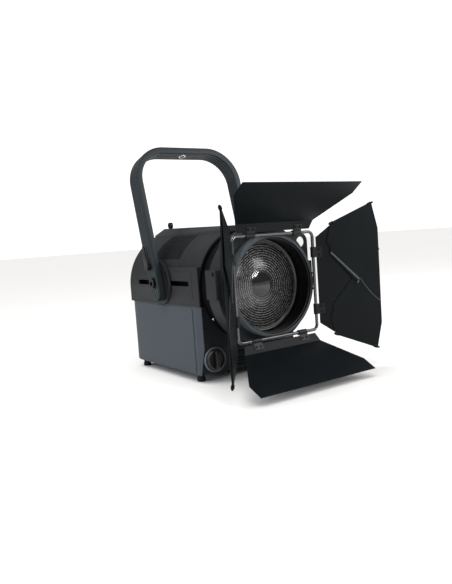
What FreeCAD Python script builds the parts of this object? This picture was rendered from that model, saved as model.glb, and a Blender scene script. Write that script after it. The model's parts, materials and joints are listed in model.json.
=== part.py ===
import FreeCAD, Part
import math
import os
import Sketcher
from FreeCAD import Placement, Rotation, Vector

# A fresnel spotlight: a box base with a drum above it, a head with lens and barn doors in front,
# and a yoke that slides and tilts on the drum's sides.
# Frame: +Z up, the beam points along -Y, X = 0 is the centre plane.
# The origin is on the surface that the feet stand on, under the yoke's tilt axis. Millimetres.

doc = FreeCAD.newDocument("fresnel_spotlight")
sheet = doc.addObject("Spreadsheet::Sheet", "Sizes")

SIZES = [
    # base
    ("half_width", 137.4, "centre plane to the side panels' outer face"),
    ("tilt_back", 174, "front of the base to the tilt axis"),
    ("base_depth", 341, "front to rear of the base"),
    ("base_floor", 18.7, "underside of the base above the floor"),
    ("base_top", 178, "top of the base above the floor"),
    ("sheet_wall", 2, "base panels' thickness"),
    ("end_strip", 20, "depth of a side panel's bent-in end strip"),
    ("end_strip_in", 4, "how far an end strip turns in"),
    ("slant_top", 80, "height where the front starts to slant back"),
    ("slant_back", 14, "how far the front slants back at the bottom"),
    ("foot_radius", 10, "rubber foot"),
    ("foot_inset", 16.7, "side panel to foot centre"),
    ("foot_front", 41.3, "base front to front foot centre"),
    ("foot_rear", 24, "base rear to rear foot centre"),
    ("screw_radius", 3.2, "case screw head"),
    ("panel_gap", 0.2, "gap round a panel"),
    ("louvre_half", 48, "half length of a louvre slot in the base front"),
    ("louvre_tall", 4, "louvre slot height"),
    ("louvre_pitch", 8, "louvre spacing"),
    ("louvre_low", 9, "base floor to the lowest louvre"),
    ("bulkhead_front", 18.2, "base front to front bulkhead"),
    ("bulkhead_rear", 40, "base rear to rear bulkhead"),
    # drum
    ("beam_height", 216.2, "beam axis above the floor"),
    ("drum_radius", 137, "outer radius of the drum"),
    ("drum_wall", 3, "drum wall"),
    ("drum_length", 349, "drum front to drum rear"),
    ("ledge_height", 268, "top of the flat side pad"),
    ("pad_length", 194, "length of the flat side pad"),
    ("slot_height", 230, "height of the balance slot and the tilt axis"),
    ("slot_width", 12, "balance slot, across"),
    ("slot_front", 133, "tilt axis to the slot's front end"),
    ("slot_rear", 124, "tilt axis to the slot's rear end"),
    ("mesh_front", 68, "tilt axis to the mesh window's front edge"),
    ("mesh_rear", 62, "tilt axis to the mesh window's rear edge"),
    ("mesh_low", 31, "lower edge of the mesh window, degrees above level"),
    ("mesh_high", 66, "upper edge of the mesh window, degrees above level"),
    ("cover_half", 50, "half width of the top cover"),
    ("cover_top_half", 40, "half width of the top cover's upper face"),
    ("cover_front_rise", 13.2, "top cover above its seat at the front"),
    ("cover_rear_rise", 21.2, "top cover above its seat at the rear"),
    ("cover_end", 40, "drum rear to the top cover's rear edge, at the top"),
    ("cover_wall", 3, "top cover's wall"),
    ("vent_width", 4, "vent slot"),
    ("vent_pitch", 9, "vent slot spacing"),
    ("vent_near", 18, "centre plane to a vent slot's inner end"),
    ("vent_far", 44, "centre plane to a vent slot's outer end"),
    ("grille_half", 2.5, "rear grille slot, half width"),
    ("grille_pitch", 10, "rear grille slot spacing"),
    ("eye_radius", 8, "safety eye, outer"),
    ("eye_hole", 3.5, "safety eye, hole radius"),
    ("eye_thick", 8, "safety eye, thickness"),
    ("eye_y", 112, "tilt axis to safety eye"),
    ("eye_x", 34, "centre plane to safety eye"),
    # neck and head
    ("neck_radius", 127, "neck sleeve, outer"),
    ("neck_wall", 3, "neck sleeve wall"),
    ("neck_gap", 35, "drum front to head rear"),
    ("head_radius", 135, "head, outer"),
    ("head_wall", 4, "head wall"),
    ("head_length", 40, "head, rear to front"),
    ("head_pad_out", 4, "head's side pad beyond the head radius"),
    ("head_pad_half", 32, "half height of the head's side pad"),
    ("frame_wall", 3, "accessory frame thickness"),
    ("ear_half", 125, "accessory frame, half width at its ears"),
    ("ear_top", 114, "accessory frame, beam axis to its top edge"),
    ("ear_corner", 22, "accessory frame, corner radius"),
    ("ear_hole", 12, "ear hole radius"),
    ("ear_hole_x", 104, "ear hole, sideways from the beam axis"),
    ("ear_hole_z", 92, "ear hole, up from the beam axis"),
    ("lens_radius", 101, "lens"),
    ("lens_edge", 8, "lens thickness"),
    ("lens_depth", 48, "ring front to lens front"),
    ("lens_ring_wide", 4, "lens ring, radial width beyond the lens"),
    # barn doors
    ("ring_radius", 115, "barn door ring, outer"),
    ("ring_bore", 105, "barn door ring, bore"),
    ("ring_length", 24, "barn door ring, rear to front"),
    ("spigot_radius", 109, "ring's spigot in the accessory frame"),
    ("spigot_flange", 112, "ring's flange behind the accessory frame"),
    ("turn_gap", 0.4, "running gap of the ring"),
    ("rod_half", 113.7, "half side of the square rod frame"),
    ("rod_radius", 3.7, "rod"),
    ("rod_ahead", 6, "ring front to rod centre"),
    ("rod_corner", 12, "rod frame's corner bend"),
    ("leaf_wall", 1.2, "leaf sheet"),
    ("leaf_start", 8, "rod centre to a leaf's hinge edge"),
    ("clip_radius", 6, "hinge clip barrel, outer"),
    ("clip_gap", 0.15, "hinge clip barrel on its rod"),
    ("clip_half", 12, "half width of a hinge clip"),
    ("clip_place", 66, "centre line to hinge clip"),
    ("clip_tab", 21, "rod centre to the end of the clip's tab"),
    ("fold_at", 28, "rod centre to the fold of the top and bottom leaves"),
    ("fold_angle", 34.1, "fold of the top and bottom leaves"),
    ("wide_at", 120, "rod centre to where a leaf is widest"),
    ("leaf_long", 158.3, "rod centre to the edge of the top and bottom leaves"),
    ("hinge_half", 100, "half width of a leaf at its hinge"),
    ("fold_half", 108.8, "half width at the fold"),
    ("wide_half", 162.5, "half width of the top and bottom leaves where widest"),
    ("edge_half", 160.7, "half width of the top and bottom leaves' edge"),
    ("top_open", 35, "top leaf plate, degrees above level"),
    ("bottom_open", 26.9, "bottom leaf plate, degrees below level"),
    ("right_open", 66.4, "right leaf, degrees from the beam"),
    ("left_open", 41.8, "left leaf, degrees from the beam"),
    ("side_bend_at", 42, "rod centre to the side leaf's bend in outline"),
    ("side_bend_half", 127.4, "half height there"),
    ("side_tip_at", 150, "rod centre to the side leaf's tips"),
    ("side_tip_half", 171.5, "half height at the tips"),
    ("side_long", 162.5, "rod centre to the side leaf's edge"),
    ("side_edge_half", 112, "half height of the side leaf's straight edge"),
    ("flap_rod", 2.3, "flap hinge rod radius"),
    ("flap_rod_over", 3, "how far the flap rod stands past the leaf's tip"),
    ("flap_lift", 1.4, "rest angle of the upper flap over the lower one, degrees"),
    ("flap_wall", 1, "flap sheet"),
    ("knuckle_radius", 3.7, "flap hinge knuckle, outer"),
    ("knuckle_long", 9, "flap hinge knuckle, length"),
    ("knuckle_gap", 0.08, "knuckle on its rod"),
    ("latch_half", 14, "top latch, half width"),
    ("latch_long", 16, "top latch, length"),
    ("latch_barrel", 2.8, "top latch, hinge barrel radius"),
    ("latch_pin", 1.5, "top latch, hinge pin radius"),
    # yoke
    ("yoke_lean", 14, "yoke leans back at rest, degrees"),
    ("yoke_half", 158, "centre plane to the yoke's outer face"),
    ("yoke_thick", 17, "yoke bar, thickness"),
    ("yoke_deep", 43, "yoke bar, depth"),
    ("yoke_bend", 91, "yoke's outer corner radius"),
    ("yoke_reach", 348.4, "tilt axis to the crossbar's top face"),
    ("yoke_foot", 45, "tilt axis to the yoke's lower end"),
    ("bolt_hole", 6.5, "hanging bolt hole radius"),
    ("pivot_radius", 6, "pivot bolt shank"),
    ("pivot_head", 12, "pivot bolt head radius"),
    ("pivot_head_long", 6, "pivot bolt head"),
    ("pivot_gap", 0.05, "pivot bolt in the yoke"),
    ("disc_radius", 54, "tilt disc"),
    ("disc_thick", 2.4, "tilt disc"),
    ("disc_gap", 1.2, "drum side to tilt disc"),
    ("yoke_gap", 0.3, "tilt disc to yoke"),
    ("block_length", 40, "slide block inside the drum"),
    ("block_gap", 4, "drum wall to slide block"),
    ("block_thick", 8, "slide block, thickness"),
    ("lock_radius", 42, "tilt axis to the tilt lock"),
    ("lock_hub", 8.5, "tilt lock hub radius"),
    ("lock_stud", 4, "tilt lock stud radius"),
    ("lever_long", 54, "tilt lock lever"),
    ("knob_hub", 14, "tilt lock knob radius"),
    # works
    ("focus_x", 107, "centre plane to the focus knob"),
    ("focus_z", 55, "floor to the focus knob's axis"),
    ("focus_radius", 29, "focus knob flange"),
    ("focus_grip", 22, "focus knob grip radius"),
    ("focus_out", 17, "focus knob, base front to grip's face"),
    ("screw_shaft", 5, "lead screw radius"),
    ("rod_x", 100, "centre plane to a guide rod"),
    ("rod_z", 128, "floor to the guide rods"),
    ("guide_radius", 5, "guide rod"),
    ("slide_gap", 0.06, "running gap of bushes and nut"),
    ("led_y", 60, "tilt axis forward to the led board"),
    ("led_half", 60, "half side of heatsink and fan"),
    ("sink_length", 84, "heatsink length"),
    ("fan_length", 25, "fan frame length"),
    ("fan_hub", 18, "fan rotor hub radius"),
    ("fan_hub_long", 16, "fan rotor hub length"),
    ("blade_angle", 38, "fan blade pitch, degrees"),
    ("fin_pitch", 10, "heatsink fin spacing"),
    ("fin_room", 3.5, "half the room between two fins"),
    ("sink_base", 10, "heatsink base thickness"),
    ("led_board_half", 26, "half side of the led board"),
    ("emitter_radius", 17, "led emitter"),
    ("supply_left", 66, "centre plane to the power supply's left side"),
    ("supply_right", 104, "centre plane to the power supply's right side"),
    ("supply_front", 110, "tilt axis to the power supply's front"),
    ("supply_rear", 70, "tilt axis to the power supply's rear"),
    ("supply_high", 48, "power supply height"),
    # rear panel
    ("socket_z", 58, "floor to the sockets' axis"),
    ("power_x", 100, "first power socket"),
    ("power_pitch", 42, "power socket spacing"),
    ("power_radius", 15, "power socket body"),
    ("dmx_x", 16, "first data socket, sideways"),
    ("dmx_pitch", 36, "data socket spacing"),
    ("dmx_radius", 12.5, "data socket body"),
    ("fuse_x", 62, "fuse holder, sideways"),
    ("fuse_radius", 7.5, "fuse holder"),
    ("menu_x", 112, "menu knob, sideways"),
    ("menu_z", 66, "menu knob, height"),
    ("menu_radius", 9, "menu knob"),
    ("menu_out", 13, "menu knob, rear panel to its face"),
    ("panel_z", 132, "display and buttons, height"),
    ("display_half", 34, "display, half width"),
    ("display_tall", 18, "display, half height"),
    ("button_x", 52, "first button, sideways"),
    ("button_pitch", 17, "button spacing"),
    ("button_radius", 4.5, "button"),
    ("button_out", 2.5, "button, rear panel to its face"),
]


class Dim:
    """A size as a number and as the spreadsheet expression that gives that number."""

    def __init__(self, value, text):
        self.value = value
        self.text = text

    def __add__(self, other):
        other = dim(other)
        return Dim(self.value + other.value, f"({self.text} + {other.text})")

    def __sub__(self, other):
        other = dim(other)
        return Dim(self.value - other.value, f"({self.text} - {other.text})")

    def __mul__(self, other):
        other = dim(other)
        return Dim(self.value * other.value, f"({self.text} * {other.text})")

    def __truediv__(self, other):
        other = dim(other)
        return Dim(self.value / other.value, f"({self.text} / {other.text})")

    def __neg__(self):
        return Dim(-self.value, f"(0 - {self.text})")

    __radd__ = __add__
    __rmul__ = __mul__


def dim(size):
    """A plain number as a Dim."""
    return size if isinstance(size, Dim) else Dim(float(size), f"({float(size)!r})")


def root(size):
    """Square root of a Dim."""
    return Dim(math.sqrt(size.value), f"sqrt({size.text})")


def sine(size):
    """Sine of a Dim in degrees."""
    return Dim(math.sin(math.radians(size.value)), f"sin({size.text})")


def cosine(size):
    """Cosine of a Dim in degrees."""
    return Dim(math.cos(math.radians(size.value)), f"cos({size.text})")


class Sizes:
    """The spreadsheet's sizes as attributes."""


S = Sizes()
for row, (alias, number, note) in enumerate(SIZES, start=1):
    sheet.set(f"A{row}", note)
    sheet.set(f"B{row}", str(number))
    sheet.setAlias(f"B{row}", alias)
    setattr(S, alias, Dim(float(number), f"Sizes.{alias}"))
doc.recompute()

nodes = {}
AXES = {"X": Rotation(Vector(0, 1, 0), 90), "Y": Rotation(Vector(1, 0, 0), -90), "Z": Rotation()}
BOOLEANS = {"Cut": "Part::Cut", "Common": "Part::Common"}


def bind(obj, path, size):
    """Bind one property of an object to the sheet."""
    obj.setExpression(path, dim(size).text)


def node(name, obj):
    """Name a finished sub-part."""
    obj.Label = name
    nodes[name] = obj
    return obj


def box(x0, x1, y0, y1, z0, z1):
    """A box between two corners."""
    obj = doc.addObject("Part::Box", "box")
    for side, low, high in (("Length", x0, x1), ("Width", y0, y1), ("Height", z0, z1)):
        bind(obj, side, dim(high) - low)
    for letter, low in (("x", x0), ("y", y0), ("z", z0)):
        bind(obj, f"Placement.Base.{letter}", low)
    return obj


def rod(axis, start, radius, length):
    """A cylinder from start along an axis, for a positive length."""
    obj = doc.addObject("Part::Cylinder", "rod")
    obj.Placement = Placement(Vector(), AXES[axis])
    bind(obj, "Radius", radius)
    bind(obj, "Height", length)
    for letter, place in zip("xyz", start):
        bind(obj, f"Placement.Base.{letter}", place)
    return obj


def boolean(kind, base, tool):
    """Part::Cut or Part::Common of two objects."""
    obj = doc.addObject(BOOLEANS[kind], kind.lower())
    obj.Base = base
    obj.Tool = tool
    return obj


def fuse(*parts):
    """One solid out of several that touch."""
    obj = doc.addObject("Part::MultiFuse", "fuse")
    obj.Shapes = list(parts)
    return obj


def cut(base, *tools):
    """Base less every tool."""
    return boolean("Cut", base, tools[0] if len(tools) == 1 else fuse(*tools))


def common(base, tool):
    """What two objects share."""
    return boolean("Common", base, tool)


def group(*parts):
    """Separate solids in one sub-part."""
    obj = doc.addObject("Part::Compound", "group")
    obj.Links = list(parts)
    return obj


def arc_edge(start, end, radius):
    """The short arc between two points; a positive radius runs counter-clockwise."""
    half = (end - start) * 0.5
    away = math.sqrt(max(radius * radius - half.Length ** 2, 0.0))
    side = Vector(-half.y, half.x, 0).normalize() * (away if radius > 0 else -away)
    centre = start + half + side
    circle = Part.Circle(centre, Vector(0, 0, 1), abs(radius))
    first, last = (start, end) if radius > 0 else (end, start)
    angles = [math.atan2(p.y - centre.y, p.x - centre.x) for p in (first, last)]
    return Part.ArcOfCircle(circle, angles[0], angles[1])


def sketch(body, plane, outline, offset, holes):
    """A closed outline on one of the body's planes, every corner bound to the sheet.

    An outline's corner is (u, v), or (u, v, radius) when an arc runs from it to the next corner.
    """
    drawn = body.newObject("Sketcher::SketchObject", "outline")
    face = [f for f in body.Origin.OriginFeatures if f.Role == f"{plane}_Plane"][0]
    drawn.AttachmentSupport = [(face, "")]
    drawn.MapMode = "FlatFace"
    bind(drawn, "AttachmentOffset.Base.z", offset)
    points = [Vector(dim(c[0]).value, dim(c[1]).value, 0) for c in outline]
    ends = []
    for i, corner in enumerate(outline):
        start, end = points[i], points[(i + 1) % len(points)]
        radius = dim(corner[2]).value if len(corner) > 2 else 0
        edge = arc_edge(start, end, radius) if radius else Part.LineSegment(start, end)
        number = drawn.addGeometry(edge, False)
        ends.append((number, 2, 1) if radius < 0 else (number, 1, 2))
        if radius:
            name = f"radius{i}"
            place = drawn.addConstraint(Sketcher.Constraint("Radius", number, abs(radius)))
            drawn.renameConstraint(place, name)
            bind(drawn, f"Constraints.{name}", corner[2] if radius > 0 else -dim(corner[2]))
    for i, (number, first, last) in enumerate(ends):
        following = ends[(i + 1) % len(ends)]
        drawn.addConstraint(Sketcher.Constraint("Coincident", number, last, following[0], following[1]))
        pin_point(drawn, number, first, outline[i][0], outline[i][1], f"corner{i}")
    for i, (u, v, radius) in enumerate(holes):
        centre = Vector(dim(u).value, dim(v).value, 0)
        circle = Part.Circle(centre, Vector(0, 0, 1), dim(radius).value)
        number = drawn.addGeometry(circle, False)
        pin_point(drawn, number, 3, u, v, f"hole{i}")
        place = drawn.addConstraint(Sketcher.Constraint("Radius", number, dim(radius).value))
        drawn.renameConstraint(place, f"hole{i}_radius")
        bind(drawn, f"Constraints.hole{i}_radius", radius)
    return drawn


def pin_point(drawn, number, end, u, v, name):
    """Hold a point of a sketch at u, v from the sketch's origin."""
    for kind, size in (("DistanceX", u), ("DistanceY", v)):
        rule = Sketcher.Constraint(kind, -1, 1, number, end, dim(size).value)
        place = drawn.addConstraint(rule)
        drawn.renameConstraint(place, f"{name}_{kind}")
        bind(drawn, f"Constraints.{name}_{kind}", size)


def prism(plane, outline, low, high, holes=()):
    """A padded outline: XY rises from low to high, YZ runs along X and XZ along Y."""
    body = doc.addObject("PartDesign::Body", "body")
    offset = -dim(high) if plane == "XZ" else dim(low)
    drawn = sketch(body, plane, outline, offset, holes)
    pad = body.newObject("PartDesign::Pad", "pad")
    pad.Profile = drawn
    bind(pad, "Length", dim(high) - low)
    return body


def turned(profile, start_y, axis_z):
    """A profile of (distance along Y from start_y, radius) turned about a line along Y at axis_z."""
    body = doc.addObject("PartDesign::Body", "body")
    drawn = sketch(body, "YZ", profile, dim(0), ())
    revolution = body.newObject("PartDesign::Revolution", "revolution")
    revolution.Profile = drawn
    revolution.ReferenceAxis = (drawn, ["H_Axis"])
    revolution.Angle = 360
    body.Placement = Placement(Vector(), Rotation())
    bind(body, "Placement.Base.y", start_y)
    bind(body, "Placement.Base.z", axis_z)
    return body


def mirrored(obj):
    """The left-hand copy of a right-hand piece."""
    copy = doc.addObject("Part::Mirroring", "mirror")
    copy.Source = obj
    copy.Base = Vector(0, 0, 0)
    copy.Normal = Vector(1, 0, 0)
    return copy


# Planes and lengths that several pieces share
front = -S.tilt_back
rear = front + S.base_depth
drum_rear = front + S.drum_length
head_rear = front - S.neck_gap
head_front = head_rear - S.head_length
frame_front = head_front - S.frame_wall
ring_rear = frame_front - S.turn_gap
ring_front = ring_rear - S.ring_length
rod_y = ring_front - S.rod_ahead
block_face = S.drum_radius - S.drum_wall - S.block_gap
latch_y = head_front - S.latch_barrel - 0.6
latch_z = S.beam_height + S.ring_radius + S.latch_barrel + 0.8
inner_half = S.half_width - S.end_strip_in - S.sheet_wall - S.panel_gap
drum_bore = S.drum_radius - S.drum_wall
panel_face = rear - S.sheet_wall
socket_back = 28
LOUVRES = 5
VENTS = 12
BLADES = 7
SIDES = (("left", -1), ("right", 1))


def drum_height(radius, half):
    """Height of a circle about the beam axis at a distance from the centre plane."""
    return S.beam_height + root(radius * radius - dim(half) * half)


cover_seat = drum_height(S.drum_radius, S.cover_half)
cover_front_z = cover_seat + S.cover_front_rise
cover_rear_z = cover_seat + S.cover_rear_rise


# ---- base ----

def front_profile(inset, depth):
    """The base front's slanted outline in YZ, inset behind the front and so deep."""
    y = front + inset
    return [(y, S.base_top), (y, S.slant_top), (y + S.slant_back, S.base_floor),
            (y + S.slant_back + depth, S.base_floor), (y + depth, S.slant_top), (y + depth, S.base_top)]


def side_panel(side):
    """A side panel: flat, with a strip bent inwards at each end and the lower front cut on the slant."""
    out = S.half_width * side
    strip = (S.half_width - S.end_strip_in) * side
    wall = S.sheet_wall * -side
    plan = [(strip, front), (out, front + S.end_strip), (out, rear - S.end_strip), (strip, rear),
            (strip + wall, rear), (out + wall, rear - S.end_strip),
            (out + wall, front + S.end_strip), (strip + wall, front)]
    sheet_metal = prism("XY", plan, S.base_floor, S.base_top)
    ahead = front - 5
    wedge = [(ahead, S.slant_top), (front, S.slant_top), (front + S.slant_back, S.base_floor),
             (ahead, S.base_floor)]
    return cut(sheet_metal, prism("YZ", wedge, -S.half_width, S.half_width))


def base_pan():
    """Floor plate with two upright bulkheads, the front one open round the light path."""
    wide = S.half_width - S.sheet_wall
    narrow = S.half_width - S.end_strip_in - S.sheet_wall
    start = front + S.slant_back + S.sheet_wall * 2
    stop = rear - S.sheet_wall * 2
    bend_front, bend_rear = front + S.end_strip, rear - S.end_strip
    slope = S.end_strip_in / S.end_strip
    near = narrow + slope * (start - front)
    far = narrow + slope * (rear - stop)
    plan = [(-near, start), (near, start), (wide, bend_front), (wide, bend_rear),
            (far, stop), (-far, stop), (-wide, bend_rear), (-wide, bend_front)]
    floor = prism("XY", plan, S.base_floor, S.base_floor + S.sheet_wall)
    walls = []
    for y in (front + S.bulkhead_front, rear - S.bulkhead_rear):
        walls.append(box(-inner_half, inner_half, y, y + S.sheet_wall, S.base_floor, S.base_top))
    y = front + S.bulkhead_front - 1
    light = rod("Y", (0, y, S.beam_height), S.neck_radius - 7, S.sheet_wall + 2)
    rear_y = rear - S.bulkhead_rear - 1
    air = rod("Y", (0, rear_y, S.beam_height), S.led_half, S.sheet_wall + 2)
    holes = []
    for side in (-1, 1):
        holes.append(rod("Y", (S.rod_x * side, front, S.rod_z), S.guide_radius, S.base_depth))
    holes.append(rod("Y", (-S.focus_x, front, S.focus_z), S.screw_shaft + 3, S.base_depth))
    return cut(fuse(floor, *walls), light, air, *holes)


def base_front_panel():
    """Front panel with the neck's cut-out, the focus shaft's hole and five louvre slots."""
    panel = prism("YZ", front_profile(dim(1.5), S.sheet_wall), -inner_half, inner_half)
    tools = [rod("Y", (0, front - 1, S.beam_height), S.neck_radius + 1, 12),
             rod("Y", (-S.focus_x, front - 1, S.focus_z), S.screw_shaft + 1, 30)]
    for i in range(LOUVRES):
        z = S.base_floor + S.louvre_low + i * S.louvre_pitch
        tools.append(box(-S.louvre_half, S.louvre_half, front - 1, front + S.slant_back + 6,
                         z, z + S.louvre_tall))
    return cut(panel, *tools)


def rear_panel():
    """Rear panel with holes for every socket, the display, the knob and the buttons."""
    low, high = S.base_floor, S.base_top
    panel = box(-inner_half, inner_half, panel_face - S.sheet_wall, panel_face, low, high)
    y = panel_face - S.sheet_wall - 1
    deep = S.sheet_wall + 2
    tools = []
    for i in range(2):
        tools.append(rod("Y", (S.power_x - i * S.power_pitch, y, S.socket_z), S.power_radius, deep))
        tools.append(rod("Y", (S.dmx_x - i * S.dmx_pitch, y, S.socket_z), S.dmx_radius, deep))
    tools.append(rod("Y", (-S.fuse_x, y, S.socket_z), S.fuse_radius, deep))
    tools.append(rod("Y", (-S.menu_x, y, S.menu_z), 4, deep))
    tools.append(box(-S.display_half, S.display_half, y, y + deep,
                     S.panel_z - S.display_tall, S.panel_z + S.display_tall))
    for i in range(4):
        x = S.button_x + i * S.button_pitch
        tools.append(rod("Y", (x, y, S.panel_z), S.button_radius + 0.3, deep))
    return cut(panel, *tools)


def rubber_feet():
    """Four feet under the pan."""
    feet = []
    x = S.half_width - S.foot_inset
    for side in (-1, 1):
        for y in (front + S.foot_front, rear - S.foot_rear):
            foot = rod("Z", (x * side, y, 0), S.foot_radius, S.base_floor)
            feet.append(foot)
    return group(*feet)


def case_screws():
    """Screw heads on the front panel and on the neck."""
    heads = []
    face = front + 1.5
    for x, z in ((-124, 127), (124, 127), (-66, 92), (124, 92)):
        heads.append(rod("Y", (x, face - 1.5, z), S.screw_radius, 1.5))
    for degrees in (-150, -30):
        place = math.radians(degrees)
        x = S.neck_radius * math.cos(place)
        z = S.beam_height + S.neck_radius * math.sin(place)
        stud = rod("Z", (0, 0, 0), S.screw_radius, 2.5)
        spin = Rotation(Vector(0, 1, 0), 90 - degrees)
        stud.Placement = Placement(Vector(x.value, (front - 26).value, z.value), spin)
        for letter, size in (("x", x), ("y", front - 26), ("z", z)):
            bind(stud, f"Placement.Base.{letter}", size)
        heads.append(cut(stud, rod("Y", (0, front - 34, S.beam_height), S.neck_radius, 30)))
    return group(*heads)


# ---- drum ----

def drum_side():
    """Right half of the drum's skin: upright below the beam axis, round above, with a flat side pad."""
    outer, inner = S.drum_radius, drum_bore
    half = S.cover_half
    skin = [(outer, S.base_top), (outer, S.beam_height, outer), (half, drum_height(outer, half)),
            (half, drum_height(inner, half), -inner), (inner, S.beam_height), (inner, S.base_top)]
    shell = prism("XZ", skin, front, drum_rear)
    rise = S.ledge_height - S.beam_height
    middle = S.drum_radius - S.drum_wall / 2
    ledge = root(middle * middle - rise * rise)
    pad = [(outer, S.beam_height), (outer, S.ledge_height), (ledge, S.ledge_height),
           (middle, S.beam_height)]
    flat = prism("XZ", pad, front, front + S.pad_length)
    bore = rod("Y", (0, front, S.beam_height), inner, S.drum_length)
    whole = cut(fuse(shell, flat), common(bore, box(0, outer, front, drum_rear,
                                                    S.beam_height, S.ledge_height + 2)))
    tools = [slot_tool()]
    lower, upper = S.mesh_low, S.mesh_high
    tools.append(wedge_tool(lower, upper, outer - 12, outer + 20, -S.mesh_front, S.mesh_rear))
    return cut(whole, *tools)


def slot_tool():
    """Round-ended balance slot through the drum's side."""
    deep = S.drum_wall + 12
    start = S.drum_radius - deep + 1
    half = S.slot_width / 2
    first, last = half - S.slot_front, S.slot_rear - half
    flat = box(start, start + deep, first, last, S.slot_height - half, S.slot_height + half)
    ends = [rod("X", (start, y, S.slot_height), half, deep) for y in (first, last)]
    return fuse(flat, *ends)


def wedge_tool(low, high, inner, outer, y0, y1):
    """Sector about the beam axis between two angles and two radii."""
    corners = [(inner, low), (outer, low), (outer, high), (inner, high)]
    outline = [(r * cosine(a), S.beam_height + r * sine(a)) for r, a in corners]
    return prism("XZ", outline, y0, y1)


def mesh_insert():
    """Curved perforated sheet that fills the right-hand mesh window from inside."""
    gap = 0.6
    outer, inner = S.drum_radius - gap, S.drum_radius - gap - 1.5
    low, high = S.mesh_low + 0.2, S.mesh_high - 0.2
    outline = [(outer * cosine(low), S.beam_height + outer * sine(low), outer),
               (outer * cosine(high), S.beam_height + outer * sine(high)),
               (inner * cosine(high), S.beam_height + inner * sine(high), -inner),
               (inner * cosine(low), S.beam_height + inner * sine(low))]
    return prism("XZ", outline, -S.mesh_front + 0.3, S.mesh_rear - 0.3)


def top_cover():
    """Raised cover along the drum's top: sloping roof, bevelled flanks, vent slots, open below."""
    seat = cover_seat
    end = drum_rear - S.cover_end
    roof = [(front, seat), (drum_rear, seat), (drum_rear, seat + 4), (end, cover_rear_z),
            (front, cover_front_z)]
    solid = prism("YZ", roof, -S.cover_half, S.cover_half)
    flank = [(-S.cover_half, seat), (S.cover_half, seat), (S.cover_half, seat + 5),
             (S.cover_top_half, cover_rear_z + 1), (-S.cover_top_half, cover_rear_z + 1),
             (-S.cover_half, seat + 5)]
    body = common(solid, prism("XZ", flank, front, drum_rear))
    wall = S.cover_wall
    hollow = [(front + wall, seat - 1), (drum_rear - wall, seat - 1), (drum_rear - wall, seat + 1),
              (end - wall, cover_rear_z - wall), (front + wall, cover_front_z - wall)]
    room = prism("YZ", hollow, -S.cover_top_half + wall, S.cover_top_half - wall)
    tools = [room]
    for i in range(VENTS):
        y = -S.tilt_back / 3 + i * S.vent_pitch
        for side in (-1, 1):
            near, far = (S.vent_near, S.vent_far) if side > 0 else (-S.vent_far, -S.vent_near)
            tools.append(box(near, far, y, y + S.vent_width, seat + 6, cover_rear_z + 2))
    tools.append(rod("Z", (-S.eye_x, S.eye_y, seat + 4), 3, 20))
    return cut(body, *tools)


def safety_eye():
    """Eye with a stem for the safety cable, on the top cover."""
    slope = (cover_rear_z - cover_front_z) / (S.drum_length - S.cover_end)
    face = cover_front_z + slope * (S.eye_y - front)
    centre = face + S.eye_radius
    half = S.eye_thick / 2
    disc = rod("X", (-S.eye_x - half, S.eye_y, centre), S.eye_radius, S.eye_thick)
    stem = rod("Z", (-S.eye_x, S.eye_y, face - S.cover_wall), 2.9, S.cover_wall + 2)
    collar = box(-S.eye_x - half, -S.eye_x + half, S.eye_y - 5, S.eye_y + 5, face + 0.2, face + 4)
    hole = rod("X", (-S.eye_x - half - 1, S.eye_y, centre), S.eye_hole, S.eye_thick + 2)
    return cut(fuse(disc, stem, collar), hole)


def drum_plate(y):
    """Plate that fills the drum's inside: round above the beam axis, square below."""
    out = drum_bore - S.panel_gap
    flat = cover_seat - S.panel_gap
    rise = flat - S.beam_height
    half = root(out * out - rise * rise)
    low = S.base_top + S.panel_gap
    outline = [(-out, low), (out, low), (out, S.beam_height, out), (half, flat),
               (-half, flat, out), (-out, S.beam_height)]
    return prism("XZ", outline, y, y + S.drum_wall)


def rear_cap():
    """End plate of the drum with upright grille slots."""
    y = drum_rear - 6
    plate = drum_plate(y)
    slots = []
    for i in range(-5, 6):
        tall = math.sqrt(1 - (i / 6.5) ** 2)
        reach = S.led_half * tall
        x = i * S.grille_pitch
        slots.append(box(x - S.grille_half, x + S.grille_half, y - 1, drum_rear,
                         S.beam_height - reach * 0.6, S.beam_height + reach))
    return cut(plate, *slots)


# ---- neck, head and lens ----

def neck_sleeve():
    """Black tube between drum and head, with a flange inside the drum's mouth."""
    radius = S.neck_radius
    start = head_rear
    sleeve = rod("Y", (0, start, S.beam_height), radius, S.neck_gap + 14)
    bore = rod("Y", (0, start - 1, S.beam_height), radius - S.neck_wall, S.neck_gap + 16)
    return cut(fuse(sleeve, drum_plate(front)), bore)


def head_casting():
    """Short drum in front of the neck with a flat pad on each side."""
    outer, inner = S.head_radius, S.head_radius - S.head_wall
    tube = rod("Y", (0, head_front, S.beam_height), outer, S.head_length)
    pads = []
    for side in (-1, 1):
        near = (outer - 20) * side
        far = (outer + S.head_pad_out) * side
        low, high = (near, far) if side > 0 else (far, near)
        pads.append(box(low, high, head_front, head_rear, S.slot_height - S.head_pad_half,
                        S.slot_height + S.head_pad_half))
    room = rod("Y", (0, head_front + S.frame_wall, S.beam_height), inner,
               S.head_length - S.frame_wall - S.drum_wall)
    mouth = rod("Y", (0, head_front - 1, S.beam_height), S.spigot_flange + 1, S.frame_wall + 2)
    eye = rod("Y", (0, head_rear - S.drum_wall - 1, S.beam_height), S.neck_radius - S.neck_wall,
              S.drum_wall + 2)
    return cut(fuse(tube, *pads), room, mouth, eye)


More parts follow.
